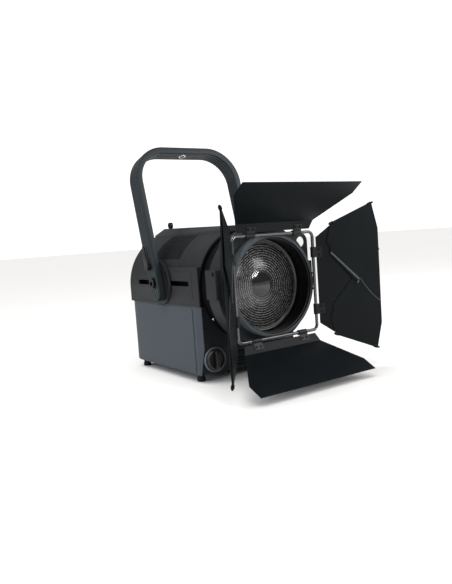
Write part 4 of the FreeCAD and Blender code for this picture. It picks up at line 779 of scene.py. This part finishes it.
def mesh_sheet(side):
    """Sheet bent round the drum: staggered cells along it and round it, each eight quads about a hole."""
    first, last = low("mesh_inserts")[1] + 1 * MM, high("mesh_inserts")[1] - 1 * MM
    radius = DRUM_RADIUS - 0.8 * MM
    begin, end = math.radians(31.2), math.radians(65.8)
    rows, columns = 14, 22
    cell_half, hole = 0.5, 0.37
    step = (last - first) / columns
    lift = (end - begin) / rows
    turn = np.arange(8) * math.pi / 4 + math.pi / 8
    square = np.stack((np.cos(turn), np.sin(turn)), axis=1)
    outer = square / np.abs(square).max(axis=1, keepdims=True) * cell_half
    inner = square * hole
    i, j = (a.ravel() for a in np.meshgrid(np.arange(rows), np.arange(columns), indexing="ij"))
    centre = np.stack((j + 0.5 + 0.25 * (i % 2) - 0.125, i + 0.5), axis=1)
    flat = np.concatenate((centre[:, None] + outer, centre[:, None] + inner), axis=1)
    y = np.clip(first + flat[:, :, 0] * step, first, last)
    angle = begin + flat[:, :, 1] * lift
    points = np.stack((side * radius * np.cos(angle), y, BEAM[2] + radius * np.sin(angle)), axis=2)
    k = np.arange(8)
    ring = np.stack((k, (k + 1) % 8, (k + 1) % 8 + 8, k + 8), axis=1)
    faces = (ring[None] + (np.arange(len(centre)) * 16)[:, None, None]).reshape(-1, 4)
    return points, faces if side < 0 else faces[:, ::-1]


def perforated(name, side):
    """The perforated sheet as a piece with a wall."""
    made = piece(name, *mesh_sheet(side), "front_black", "housing", merge=4e-5)
    wall = made.modifiers.new("wall", "SOLIDIFY")
    wall.thickness = 0.9 * MM
    wall.offset = 0
    return made


mesh_left = perforated("mesh_sheet_left", -1)
perforated("mesh_sheet_right", 1)
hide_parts("mesh_inserts")


def drum_rib(side):
    """Raised band: a flat section carried round the drum between the mesh window and the shoulder."""
    turn = np.radians(np.linspace(23.6, 67.5, 40))
    outward = np.stack((np.cos(turn), 0 * turn, np.sin(turn)), axis=1)
    path = BEAM + ALONG_Y * (DRUM_FRONT + 90 * MM) + DRUM_RADIUS * outward
    section = rounded_outline([(-6.5, -1), (6.5, -1), (4.2, 1.3), (-4.2, 1.3)], 0.5, 4) * MM
    points, faces = loft(path, ALONG_Y, outward, section)
    return points * (side, 1, 1), faces


def pad_bead(side):
    """Low bead on the side pad: an oval section carried level, round a corner, then down."""
    x = DRUM_RADIUS - 0.2 * MM
    top, foot = PIVOT[2] + 28 * MM, PIVOT[2] - 31 * MM
    front = DRUM_FRONT + 29 * MM
    line = rounded_outline([(front + 90 * MM, top), (front, top), (front, foot)], 11 * MM, 9, closed=False)
    path = np.stack((0 * line[:, 0] + x, line[:, 0], line[:, 1]), axis=1)
    ahead = np.gradient(path, axis=0)
    ahead /= np.linalg.norm(ahead, axis=1, keepdims=True)
    across = np.cross(ahead, ALONG_X)
    turn = np.linspace(0, 2 * math.pi, 12, endpoint=False)
    section = np.stack((np.cos(turn) * 2.2, np.sin(turn) * 1.15), axis=1) * MM
    points, faces = loft(path, across, ALONG_X, section)
    return points * (side, 1, 1), faces


piece("drum_ribs", *joined([drum_rib(-1), drum_rib(1)]), "casting", "housing")
piece("pad_beads", *joined([pad_bead(-1), pad_bead(1)]), "casting", "housing")


def slot_back(side):
    """Near-black plate inside the drum, behind the balance slot and its slide block: a sheet of painted
    shade for the dark seen through the slot.
    """
    origin = PIVOT * (0, 0, 1) + ALONG_X * side * (high("slide_blocks")[0] - 11.5 * MM)
    plate = rectangle(282 * MM, 34 * MM, 2 * MM)
    return slab(plate, origin, ALONG_Y, UP, -ALONG_X * side, 1.2 * MM, 0.2 * MM)


# near-black plates as painted shade, the dark seen through the balance slots
piece("slot_shade_plates", *joined([slot_back(-1), slot_back(1)]), "recess_black", "housing")


def screw_head(centre, axis, radius, height, segments=32):
    """Cylinder head with a rounded rim and a round socket."""
    profile = np.array([(0, 0), (0, 1), (0.7, 1), (1, 0.82), (1, 0.5), (0.45, 0.44), (0.45, 0)])
    return lathe(profile * (height, radius), centre, axis, segments)


def screws(name, places, axis, radius, height, finish, body):
    """Several screw heads on one body as one piece."""
    heads = [screw_head(np.array(place), axis, radius, height) for place in places]
    return piece(name, *joined(heads), finish, body)


for side, side_name in ((-1, "left"), (1, "right")):
    drum_spot = np.array((side * 121.5 * MM, 88 * MM, BEAM[2] + 64.5 * MM))
    screws(f"drum_screw_{side_name}", [drum_spot], (drum_spot - BEAM) * (1, 0, 1), 3 * MM, 1.6 * MM,
           "screw_black", "housing")

# bright stop screw on the neck's lower left, between the drum and the head
STOP_TURN = math.radians(-148)
STOP_AXIS = np.array((math.cos(STOP_TURN), 0, math.sin(STOP_TURN)))
STOP_PLACE = BEAM + STOP_AXIS * 127 * MM + ALONG_Y * (DRUM_FRONT - 10 * MM)
screws("neck_stop_screw", [STOP_PLACE], STOP_AXIS, 3.6 * MM, 4.5 * MM, "steel", "housing")


# ---- base ----

def feet():
    """Four rubber feet, narrower at the top, with a rounded tread edge."""
    floor, top = low("rubber_feet"), high("rubber_feet")
    radius = 10 * MM
    xs = (floor[0] + radius, top[0] - radius)
    ys = (floor[1] + radius, top[1] - radius)
    height = top[2] - floor[2]
    profile = [(0, 0), (0, radius - 1.5 * MM), (0.5 * MM, radius - 0.4 * MM), (1.6 * MM, radius),
               (height * 0.45, radius), (height * 0.55, radius - 1.2 * MM), (height, radius - 1.8 * MM),
               (height, 0)]
    return joined([lathe(profile, np.array((x, y, floor[2])), UP, 48) for x in xs for y in ys])


piece("feet", *feet(), "rubber", "housing", ("rubber_feet",))


def side_skin(side):
    """Raised panel on a base side, with rounded corners and a soft rim, clear of the bent end strips."""
    lower, upper = low("side_panel_right"), high("side_panel_right")
    first, last = lower[1] + 32 * MM, upper[1] - 21 * MM
    foot, head = lower[2] + 3 * MM, upper[2] - 3 * MM
    outline = rounded_outline([(first, foot), (last, foot), (last, head), (first, head)], 6 * MM, 7)
    origin = ALONG_X * side * (upper[0] - 0.2 * MM)
    return slab(outline, origin, ALONG_Y, UP, ALONG_X * side, 1.6 * MM, 0.7 * MM)


piece("side_skins", *joined([side_skin(-1), side_skin(1)]), "base_grey", "housing")


KNOB_CENTRE = middle("focus_knob") * (1, 0, 1) + ALONG_Y * (DRUM_FRONT - 1 * MM)


def knob_rim():
    """Light rim of the focus knob: a closed profile turned about its shaft."""
    rim = [(0, 24.2), (0, 29), (2.2, 29), (3.6, 28.2), (4.2, 27), (3.9, 25.6), (3.0, 24.6)]
    return closed_lathe(np.array(rim) * MM, KNOB_CENTRE, -ALONG_Y, 96)


def knob_bowl():
    """Dark dished middle of the focus knob."""
    bowl = [(0.4, 0), (0.4, 25.4), (3.1, 25.2), (9.6, 21.6), (10.4, 20.4), (10.2, 19.4), (6.5, 17.6), (6, 0)]
    return lathe(np.array(bowl) * MM, KNOB_CENTRE, -ALONG_Y, 96)


def finger_bar():
    """Upright bar across the focus knob: width grows with height squared and both close in at the ends."""
    height = np.linspace(-1, 1, 25)
    path = KNOB_CENTRE + UP * (height * 21 * MM)[:, None] - ALONG_Y * 9.5 * MM
    width = (4.6 + 1.6 * height ** 2) * np.sqrt(np.clip(1.02 - height ** 6, 0.05, 1)) * MM
    depth = 6.2 * np.sqrt(np.clip(1.04 - height ** 8, 0.1, 1)) * MM
    unit = rectangle(2, 2, 0.55, 5)
    return loft(path, ALONG_X, ALONG_Y, unit[None] * np.stack((width, depth), axis=1)[:, None])


piece("focus_knob_rim", *knob_rim(), "knob_rim", "focus")
piece("focus_knob_grip", *joined([knob_bowl(), finger_bar()]), "knob_black", "focus", ("focus_knob",))


# ---- ring, lens and barrel ----

def ring_shell():
    """Outside of the barn door ring: rounded lip, outer wall, spigot and rear flange."""
    front, radius = RING_FRONT, RING_RADIUS
    bore = radius - 10 * MM
    lip = bore + 3.2 * MM
    spigot, flange = bore + 4 * MM, bore + 7 * MM
    rear = front + 24 * MM
    return [(front + 1.0 * MM, radius), (front + 0.3 * MM, radius - 0.3 * MM), (front, radius - 1.0 * MM),
            (front, lip + 0.5 * MM), (front + 0.3 * MM, lip), (front + 4 * MM, lip - 0.3 * MM),
            (rear - 2 * MM, bore + 1.6 * MM), (RING_REAR, bore + 1.6 * MM), (RING_REAR, flange),
            (RING_REAR - 2 * MM, flange), (RING_REAR - 2 * MM, spigot), (rear, spigot), (rear, radius)]


def ring_bore():
    """Black stepped bore of the ring: a wide mouth and a row of fine baffles behind it."""
    front, bore = RING_FRONT, RING_RADIUS - 10 * MM
    baffles, pitch = 8, 2.8 * MM
    inside = [(front + 1.6 * MM, bore + 2.9 * MM), (front + 4.4 * MM, bore + 2.2 * MM),
              (front + 5.0 * MM, bore + 0.1 * MM)]
    for k in range(baffles):
        y = front + 5.6 * MM + k * pitch
        inside += [(y, bore + 0.1 * MM), (y + 0.2 * MM, bore + 1.0 * MM), (y + 1.8 * MM, bore + 1.0 * MM),
                   (y + 2.0 * MM, bore + 0.1 * MM)]
    outside = [(RING_REAR - 0.2 * MM, bore + 0.1 * MM), (RING_REAR - 0.2 * MM, bore + 2.2 * MM),
               (front + 4 * MM, bore + 3.3 * MM), (front + 1.6 * MM, bore + 3.3 * MM)]
    return inside + outside


piece("barn_door_ring", *closed_lathe(ring_shell(), BEAM, ALONG_Y, 160), "ring_grey", "barn_doors",
      ("barn_ring",))
piece("barn_door_bore", *closed_lathe(ring_bore(), BEAM, ALONG_Y, 160), "barrel_black", "barn_doors")


def lens_surface():
    """Fresnel face, flat behind: each facet and the dome rise as radius squared over twice the curve."""
    face = low("lens_ring")[1] + 2 * MM
    back = high("fresnel_lens")[1]
    rows = [(back, 0), (back, LENS_RADIUS), (face, LENS_RADIUS), (face, LENS_RADIUS - LENS_RIM)]
    radii = np.linspace(LENS_RADIUS - LENS_RIM, LENS_DOME, LENS_FACETS + 1)
    for outer, inner in zip(radii[:-1], radii[1:]):
        for radius in np.linspace(outer, inner, 5):
            rows.append((face - (outer ** 2 - radius ** 2) / (2 * LENS_CURVE), radius))
        rows.append((face, inner))
    for radius in np.linspace(LENS_DOME, 0, 14)[1:]:
        rows.append((face - (LENS_DOME ** 2 - radius ** 2) / (2 * LENS_CURVE), radius))
    return lathe(rows, BEAM, ALONG_Y, 180)


piece("fresnel_glass", *lens_surface(), "lens_glass", "housing", ("fresnel_lens",), sharp=20)


def bezel():
    """Retaining ring of the lens: two rounded rims that catch the light."""
    front = low("lens_ring")[1]
    outer = high("lens_ring")[0]
    profile = [(front + 8 * MM, outer), (front + 1.4 * MM, outer), (front + 0.4 * MM, outer - 0.5 * MM),
               (front, outer - 1.5 * MM), (front + 0.5 * MM, outer - 2.6 * MM),
               (front + 1.3 * MM, outer - 3.4 * MM), (front + 0.9 * MM, outer - 4.4 * MM),
               (front + 0.3 * MM, outer - 5.4 * MM),
               (front + 0.7 * MM, outer - 6.5 * MM), (front + 1.8 * MM, outer - 6.8 * MM),
               (front + 1.9 * MM, outer - 4.1 * MM), (front + 8 * MM, outer - 4.0 * MM)]
    return closed_lathe(profile, BEAM, ALONG_Y, 160)


piece("lens_bezel", *bezel(), "bezel_grey", "housing", ("lens_ring",))


def lens_tab(degrees):
    """Small black spring tab that holds the bezel, on the barrel's inside."""
    turn = math.radians(degrees)
    outward = np.array((math.cos(turn), 0, math.sin(turn)))
    across = np.array((-math.sin(turn), 0, math.cos(turn)))
    radius = high("lens_ring")[0] - 1.2 * MM
    origin = BEAM + outward * radius + ALONG_Y * (low("lens_ring")[1] - 5.8 * MM)
    tab = rectangle(12 * MM, 10.5 * MM, 1.5 * MM)
    return slab(tab, origin, across, ALONG_Y, outward, 1.2 * MM, 0.2 * MM)


piece("lens_tabs", *joined([lens_tab(a) for a in (38, -38, 158, 218, 98, -82)]), "recess_black", "housing")


def light_cone():
    """Cone from the lens to the led's foremost place: a straight taper plus a cosine for its ribs."""
    wide, narrow = 94 * MM, 60 * MM
    start, stop = high("fresnel_lens")[1] + 4 * MM, -126 * MM
    ribs, rib_height = 15, 0.7 * MM
    t = np.linspace(0, 1, 46)
    wave = rib_height * np.cos(t * 2 * math.pi * ribs)
    inside = np.stack((start + (stop - start) * t, wide + (narrow - wide) * t + wave), axis=1)
    outside = inside[::-1] + (0, 1.6 * MM)
    return closed_lathe(np.concatenate((inside, outside)), BEAM, ALONG_Y, 120)


piece("light_cone", *light_cone(), "cone_grey", "housing")


def led_dome():
    """Phosphor dome on the led board: a quarter ellipse turned about the beam."""
    radius, rise = 13 * MM, 2.5 * MM
    turn = np.linspace(0, math.pi / 2, 12)
    dome = np.stack((0.05 * MM - rise * np.sin(turn), radius * np.cos(turn)), axis=1)
    rows = np.concatenate(([(0.1 * MM, 0), (0.1 * MM, radius)], dome))
    return lathe(rows, BEAM + ALONG_Y * (low("led_array")[1] + 0.2 * MM), ALONG_Y, 48)


piece("led_dome", *led_dome(), "led_glow", "led_module")


# ---- barn door leaves ----

# angle of each leaf's sheet at its clips, from the beam's way
LEAF_ANGLE = {"top": 69.1, "bottom": 61.0, "left": 41.8, "right": 66.4}
CLIP_PLACE = 66 * MM
CLIP_SCREW = 6.2 * MM


def leaf_frame(name):
    """Hinge place, the way out from the rod, the way along it and the way to the beam side of a leaf."""
    origin = np.array(JOINTS[f"{name}_leaf_hinge"]["pos_m"])
    turn = math.radians(LEAF_ANGLE[name])
    ahead, out = -ALONG_Y, {"top": UP, "bottom": -UP, "left": -ALONG_X, "right": ALONG_X}[name]
    away = math.cos(turn) * ahead + math.sin(turn) * out
    inward = math.sin(turn) * ahead - math.cos(turn) * out
    along = ALONG_X if name in ("top", "bottom") else UP
    return origin, away, along, inward


def clip_screws(name):
    """Two screws on each of a leaf's clips, with their washers."""
    origin, away, along, inward = leaf_frame(name)
    parts = []
    washer = [(0, 0), (0, 3.6 * MM), (0.5 * MM, 3.6 * MM), (0.5 * MM, 0)]
    for place in (-CLIP_PLACE, CLIP_PLACE):
        for offset in (-CLIP_SCREW, CLIP_SCREW):
            spot = origin + away * 14.5 * MM + along * (place + offset) + inward * 1.9 * MM
            parts.append(lathe(washer, spot, inward, 24))
            parts.append(screw_head(spot + inward * 0.4 * MM, inward, 2.7 * MM, 1.7 * MM, 24))
    return joined(parts)


for leaf in LEAF_ANGLE:
    piece(f"clip_screws_{leaf}", *clip_screws(leaf), "screw_black", f"{leaf}_leaf")


def flap_rim(leaf, flap, first, last):
    """Line along a flap's rim between two spots (out from the rod, along it), read off its own sheet."""
    origin, away, along, inward = leaf_frame(leaf)
    mesh = frame["nodes"][flap].data
    spots = np.empty(len(mesh.vertices) * 3)
    mesh.vertices.foreach_get("co", spots)
    spots = spots.reshape(-1, 3) - origin
    flat = np.stack((spots @ away, spots @ along, spots @ inward), axis=1)

    # keep the sheet's corners that lie beside the straight way from first to last, in their order along it
    span = np.linalg.norm(last - first)
    ahead = (last - first) / span
    gone = (flat[:, :2] - first) @ ahead
    aside = (flat[:, 0] - first[0]) * -ahead[1] + (flat[:, 1] - first[1]) * ahead[0]
    near = (np.abs(aside) < 7.5 * MM) & (gone > -1 * MM) & (gone < span + 1 * MM)
    order = np.argsort(gone[near])
    edge, gone = flat[near][order], gone[near][order]

    # of those at one place keep the one nearest the beam, then read the line off at even steps
    close_by = [edge[np.abs(gone - place) < 0.4 * MM] for place in np.unique(np.round(gone / MM)) * MM]
    line = np.array([spot_group[spot_group[:, 2].argmax()] for spot_group in close_by if len(spot_group)])
    gone = (line[:, :2] - first) @ ahead
    even = np.linspace(0, 1, 40) * span
    line = np.stack([np.interp(even, gone, line[:, k]) for k in range(3)], axis=1)
    return origin + line[:, :1] * away + line[:, 1:2] * along + line[:, 2:] * inward


def flap_hem(leaf, half, corners, width, rise):
    """Hem on a flap: a low flat section carried along its rim and drawn towards the flap's middle; its
    lighter grey is a painted highlight, the light line that the rim catches.
    """
    origin, away, along, inward = leaf_frame(leaf)
    first, last = np.array(corners) * MM
    path = flap_rim(leaf, f"flap_{leaf}_{half}", first, last)
    way = np.gradient(path, axis=0)
    way /= np.linalg.norm(way, axis=1, keepdims=True)
    up_or_down = 1 if half == "upper" else -1
    flap_middle = origin + 95 * MM * away + up_or_down * 95 * MM * along
    across = np.cross(inward, way)
    across = across * np.sign(((flap_middle - path) * across).sum(axis=1, keepdims=True))
    section = rounded_outline([(0, -0.5), (width, -0.5), (width - 0.4, rise), (0.4, rise)], 0.25, 3) * MM
    return loft(path, across, inward, section)


# each flap's hem: its two ends (out from the rod, along it), width and rise in millimetres
HEMS = {"upper": (((40, 61), (105.6, -13.8)), 5.0, 1.0), "lower": (((105.6, 13.8), (162.5, -61)), 2.0, 0.5)}
for leaf in ("left", "right"):
    for half, hem in HEMS.items():
        flap_body = BODY_OF[f"flap_{leaf}_{half}"]
        # the hems wear a lighter grey, a painted highlight along the flap rims
        piece(f"flap_hem_{leaf}_{half}", *flap_hem(leaf, half, *hem), "hem_grey", flap_body)


# ---- head ----

def pad_keeper(side):
    """Dark square keeper on the head's side pad."""
    origin = np.array((side * (HEAD_PAD - 0.3 * MM), HEAD_FRONT + 9 * MM, PIVOT[2] + 23 * MM))
    keeper = rectangle(8 * MM, 9 * MM, 1 * MM)
    return slab(keeper, origin, ALONG_Y, UP, ALONG_X * side, 0.7 * MM, 0.15 * MM)


piece("head_pad_keepers", *joined([pad_keeper(-1), pad_keeper(1)]), "recess_black", "housing")


# ---- rear panel ----

def menu_dial():
    """Rotary knob on its shaft; the grip's radius steps in and out round it."""
    centre = middle("menu_knob") * (1, 0, 1) + ALONG_Y * (PANEL_FACE + 1 * MM)
    body = [(0, 0), (0, 8.6), (0.6, 9), (2.4, 9), (2.8, 8.4), (10.2, 7.9), (11.4, 7.3), (12, 6.2), (12, 0)]

    def knurl(along, radius, turn):
        """Fine flutes on the grip."""
        grip = (along > 2.6 * MM) & (along < 11.6 * MM) & (radius > 7 * MM)
        return grip * 0.28 * MM * np.sign(np.sin(turn * 24))

    shaft = [(-13, 0), (-13, 3.4), (0.1, 3.4), (0.1, 0)]
    return joined([lathe(np.array(body) * MM, centre, ALONG_Y, 144, knurl),
                   lathe(np.array(shaft) * MM, centre, ALONG_Y, 32)])


piece("menu_dial_knob", *menu_dial(), "knob_black", "menu_dial", ("menu_knob",))


def socket_pins(node, pitch_radius, count, pin_radius):
    """Contact pins inside each of a pair of round sockets."""
    lower, upper = low(node), high(node)
    radius = (upper[2] - lower[2]) / 2 - 3 * MM
    z = (lower[2] + upper[2]) / 2
    pin = [(0, 0), (0, pin_radius), (10 * MM, pin_radius), (11 * MM, pin_radius * 0.5), (11 * MM, 0)]
    parts = []
    for x in (lower[0] + radius + 2 * MM, upper[0] - radius - 2 * MM):
        for k in range(count):
            turn = 2 * math.pi * k / count + math.pi / 2
            spot = np.array((x + pitch_radius * math.cos(turn), PANEL_FACE - 16.2 * MM,
                             z + pitch_radius * math.sin(turn)))
            parts.append(lathe(pin, spot, ALONG_Y, 16))
    return joined(parts)


piece("power_contacts", *socket_pins("power_sockets", 6 * MM, 3, 1.6 * MM), "bolt_steel", "housing")
piece("data_contacts", *socket_pins("dmx_sockets", 5 * MM, 5, 0.9 * MM), "bolt_steel", "housing")


def rear_screw_places():
    """A place in two corners of each socket's flange, and in the rear panel's corners."""
    places = []
    for node in ("power_sockets", "dmx_sockets"):
        lower, upper = low(node), high(node)
        width = upper[2] - lower[2] - 2 * MM
        for left in (lower[0], upper[0] - width):
            for dx, dz in ((3.2 * MM, 3.2 * MM), (width - 3.2 * MM, upper[2] - lower[2] - 3.2 * MM)):
                places.append((left + dx, high(node)[1] - 0.1 * MM, lower[2] + dz))
    lower, upper = low("rear_panel"), high("rear_panel")
    for x in (lower[0] + 8 * MM, upper[0] - 8 * MM):
        for z in (lower[2] + 10 * MM, upper[2] - 10 * MM):
            places.append((x, PANEL_FACE - 0.1 * MM, z))
    return places


screws("rear_screws", rear_screw_places(), ALONG_Y, 2.2 * MM, 1.2 * MM, "screw_black", "housing")


# ---- stage ----

def floor_finish():
    """Plain white floor with a faint slow tone."""
    finish, tree, shader, vector = blank("studio_floor")
    tone = noise_node(tree, vector, 1.5, 2.0, 0.5)
    base = blend_colours(tree, tone, (0.86, 0.855, 0.85), (0.88, 0.875, 0.87))
    tree.links.new(base, shader.inputs["Base Color"])
    shader.inputs["Roughness"].default_value = 0.9
    shader.inputs["Specular IOR Level"].default_value = 0.1
    return finish


def floor():
    """Large plain floor under the feet."""
    mesh = bpy.data.meshes.new("floor")
    reach = 30.0
    corners = [(-reach, -reach, 0), (reach, -reach, 0), (reach, reach, 0), (-reach, reach, 0)]
    mesh.from_pydata(corners, [], [(0, 1, 2, 3)])
    made = bpy.data.objects.new("floor", mesh)
    bpy.context.scene.collection.objects.link(made)
    mesh.materials.append(floor_finish())


def shining(light, way):
    """A light in the scene that shines against a way, and the turn that points it there."""
    made = bpy.data.objects.new(light.name, light)
    bpy.context.scene.collection.objects.link(made)
    back = way / np.linalg.norm(way)
    right = np.cross(UP if abs(back[2]) < 0.95 else ALONG_Y, back)
    right /= np.linalg.norm(right)
    turn = np.stack((right, np.cross(back, right), back), axis=1)
    return made, Matrix(turn.tolist()).to_4x4()


def soft_box(name, place, target, width, height, power, colour=(1, 1, 1)):
    """Area light at a place, facing a target."""
    light = bpy.data.lights.new(name, "AREA")
    light.shape = "RECTANGLE"
    light.size, light.size_y = width, height
    light.energy = power
    light.color = colour
    made, turn = shining(light, np.array(place, dtype=float) - np.array(target, dtype=float))
    made.matrix_world = Matrix.Translation(place) @ turn
    made.visible_camera = False


def soft_sun(name, direction, strength, spread, colour=(1, 1, 1)):
    """Very soft even light from one way, which keeps the whole floor evenly bright."""
    light = bpy.data.lights.new(name, "SUN")
    light.energy = strength
    light.angle = math.radians(spread)
    light.color = colour
    made, turn = shining(light, np.array(direction, dtype=float))
    made.matrix_world = turn


def studio_world():
    """White surroundings for the camera, dimmer for the light that they give."""
    world = bpy.data.worlds.new("studio")
    bpy.context.scene.world = world
    world.use_nodes = True
    tree = world.node_tree
    path = tree.nodes.new("ShaderNodeLightPath")
    back = tree.nodes["Background"]
    back.inputs["Color"].default_value = (1, 1, 1, 1)
    strength = tree.nodes.new("ShaderNodeMapRange")
    strength.inputs["To Min"].default_value = 0.22
    strength.inputs["To Max"].default_value = 1.2
    tree.links.new(path.outputs["Is Camera Ray"], strength.inputs["Value"])
    tree.links.new(strength.outputs["Result"], back.inputs["Strength"])


def studio_camera():
    """Camera from the front left, a little above the beam."""
    camera = bpy.data.cameras.new("studio_camera")
    camera.lens = 36.87
    camera.sensor_width = 36
    camera.clip_end = 100
    made = bpy.data.objects.new("studio_camera", camera)
    bpy.context.scene.collection.objects.link(made)
    right, up, back = (0.8213, -0.5663, -0.0702), (0.1092, 0.0353, 0.9935), (-0.5601, -0.8235, 0.0908)
    turn = Matrix((right, up, back)).transposed()
    made.matrix_world = Matrix.Translation((-0.8359, -1.3108, 0.3305)) @ turn.to_4x4()
    bpy.context.scene.camera = made


floor()
LAMP_MIDDLE = (0, -0.15, 0.25)
LENS_MIDDLE = (0, -0.23, 0.22)
soft_sun("overhead_sky", (-0.25, 0.10, 1.0), 2.75, 66, (1.0, 0.99, 0.975))
soft_box("left_key", (-2.4, -0.1, 1.2), LAMP_MIDDLE, 1.4, 1.6, 26, (0.94, 0.97, 1.0))
soft_box("front_fill", (-0.9, -2.8, 1.5), LAMP_MIDDLE, 1.2, 1.0, 12)
soft_box("front_right", (1.6, -2.0, 1.7), LAMP_MIDDLE, 1.1, 1.1, 22)
soft_box("right_rim", (2.0, -1.1, 1.2), LAMP_MIDDLE, 0.6, 1.4, 12)
soft_box("lens_glint", (1.05, -2.53, 0.80), LENS_MIDDLE, 0.22, 0.22, 14)
studio_world()
studio_camera()
bpy.context.scene.view_settings.view_transform = "Standard"
bpy.context.scene.view_settings.look = "None"
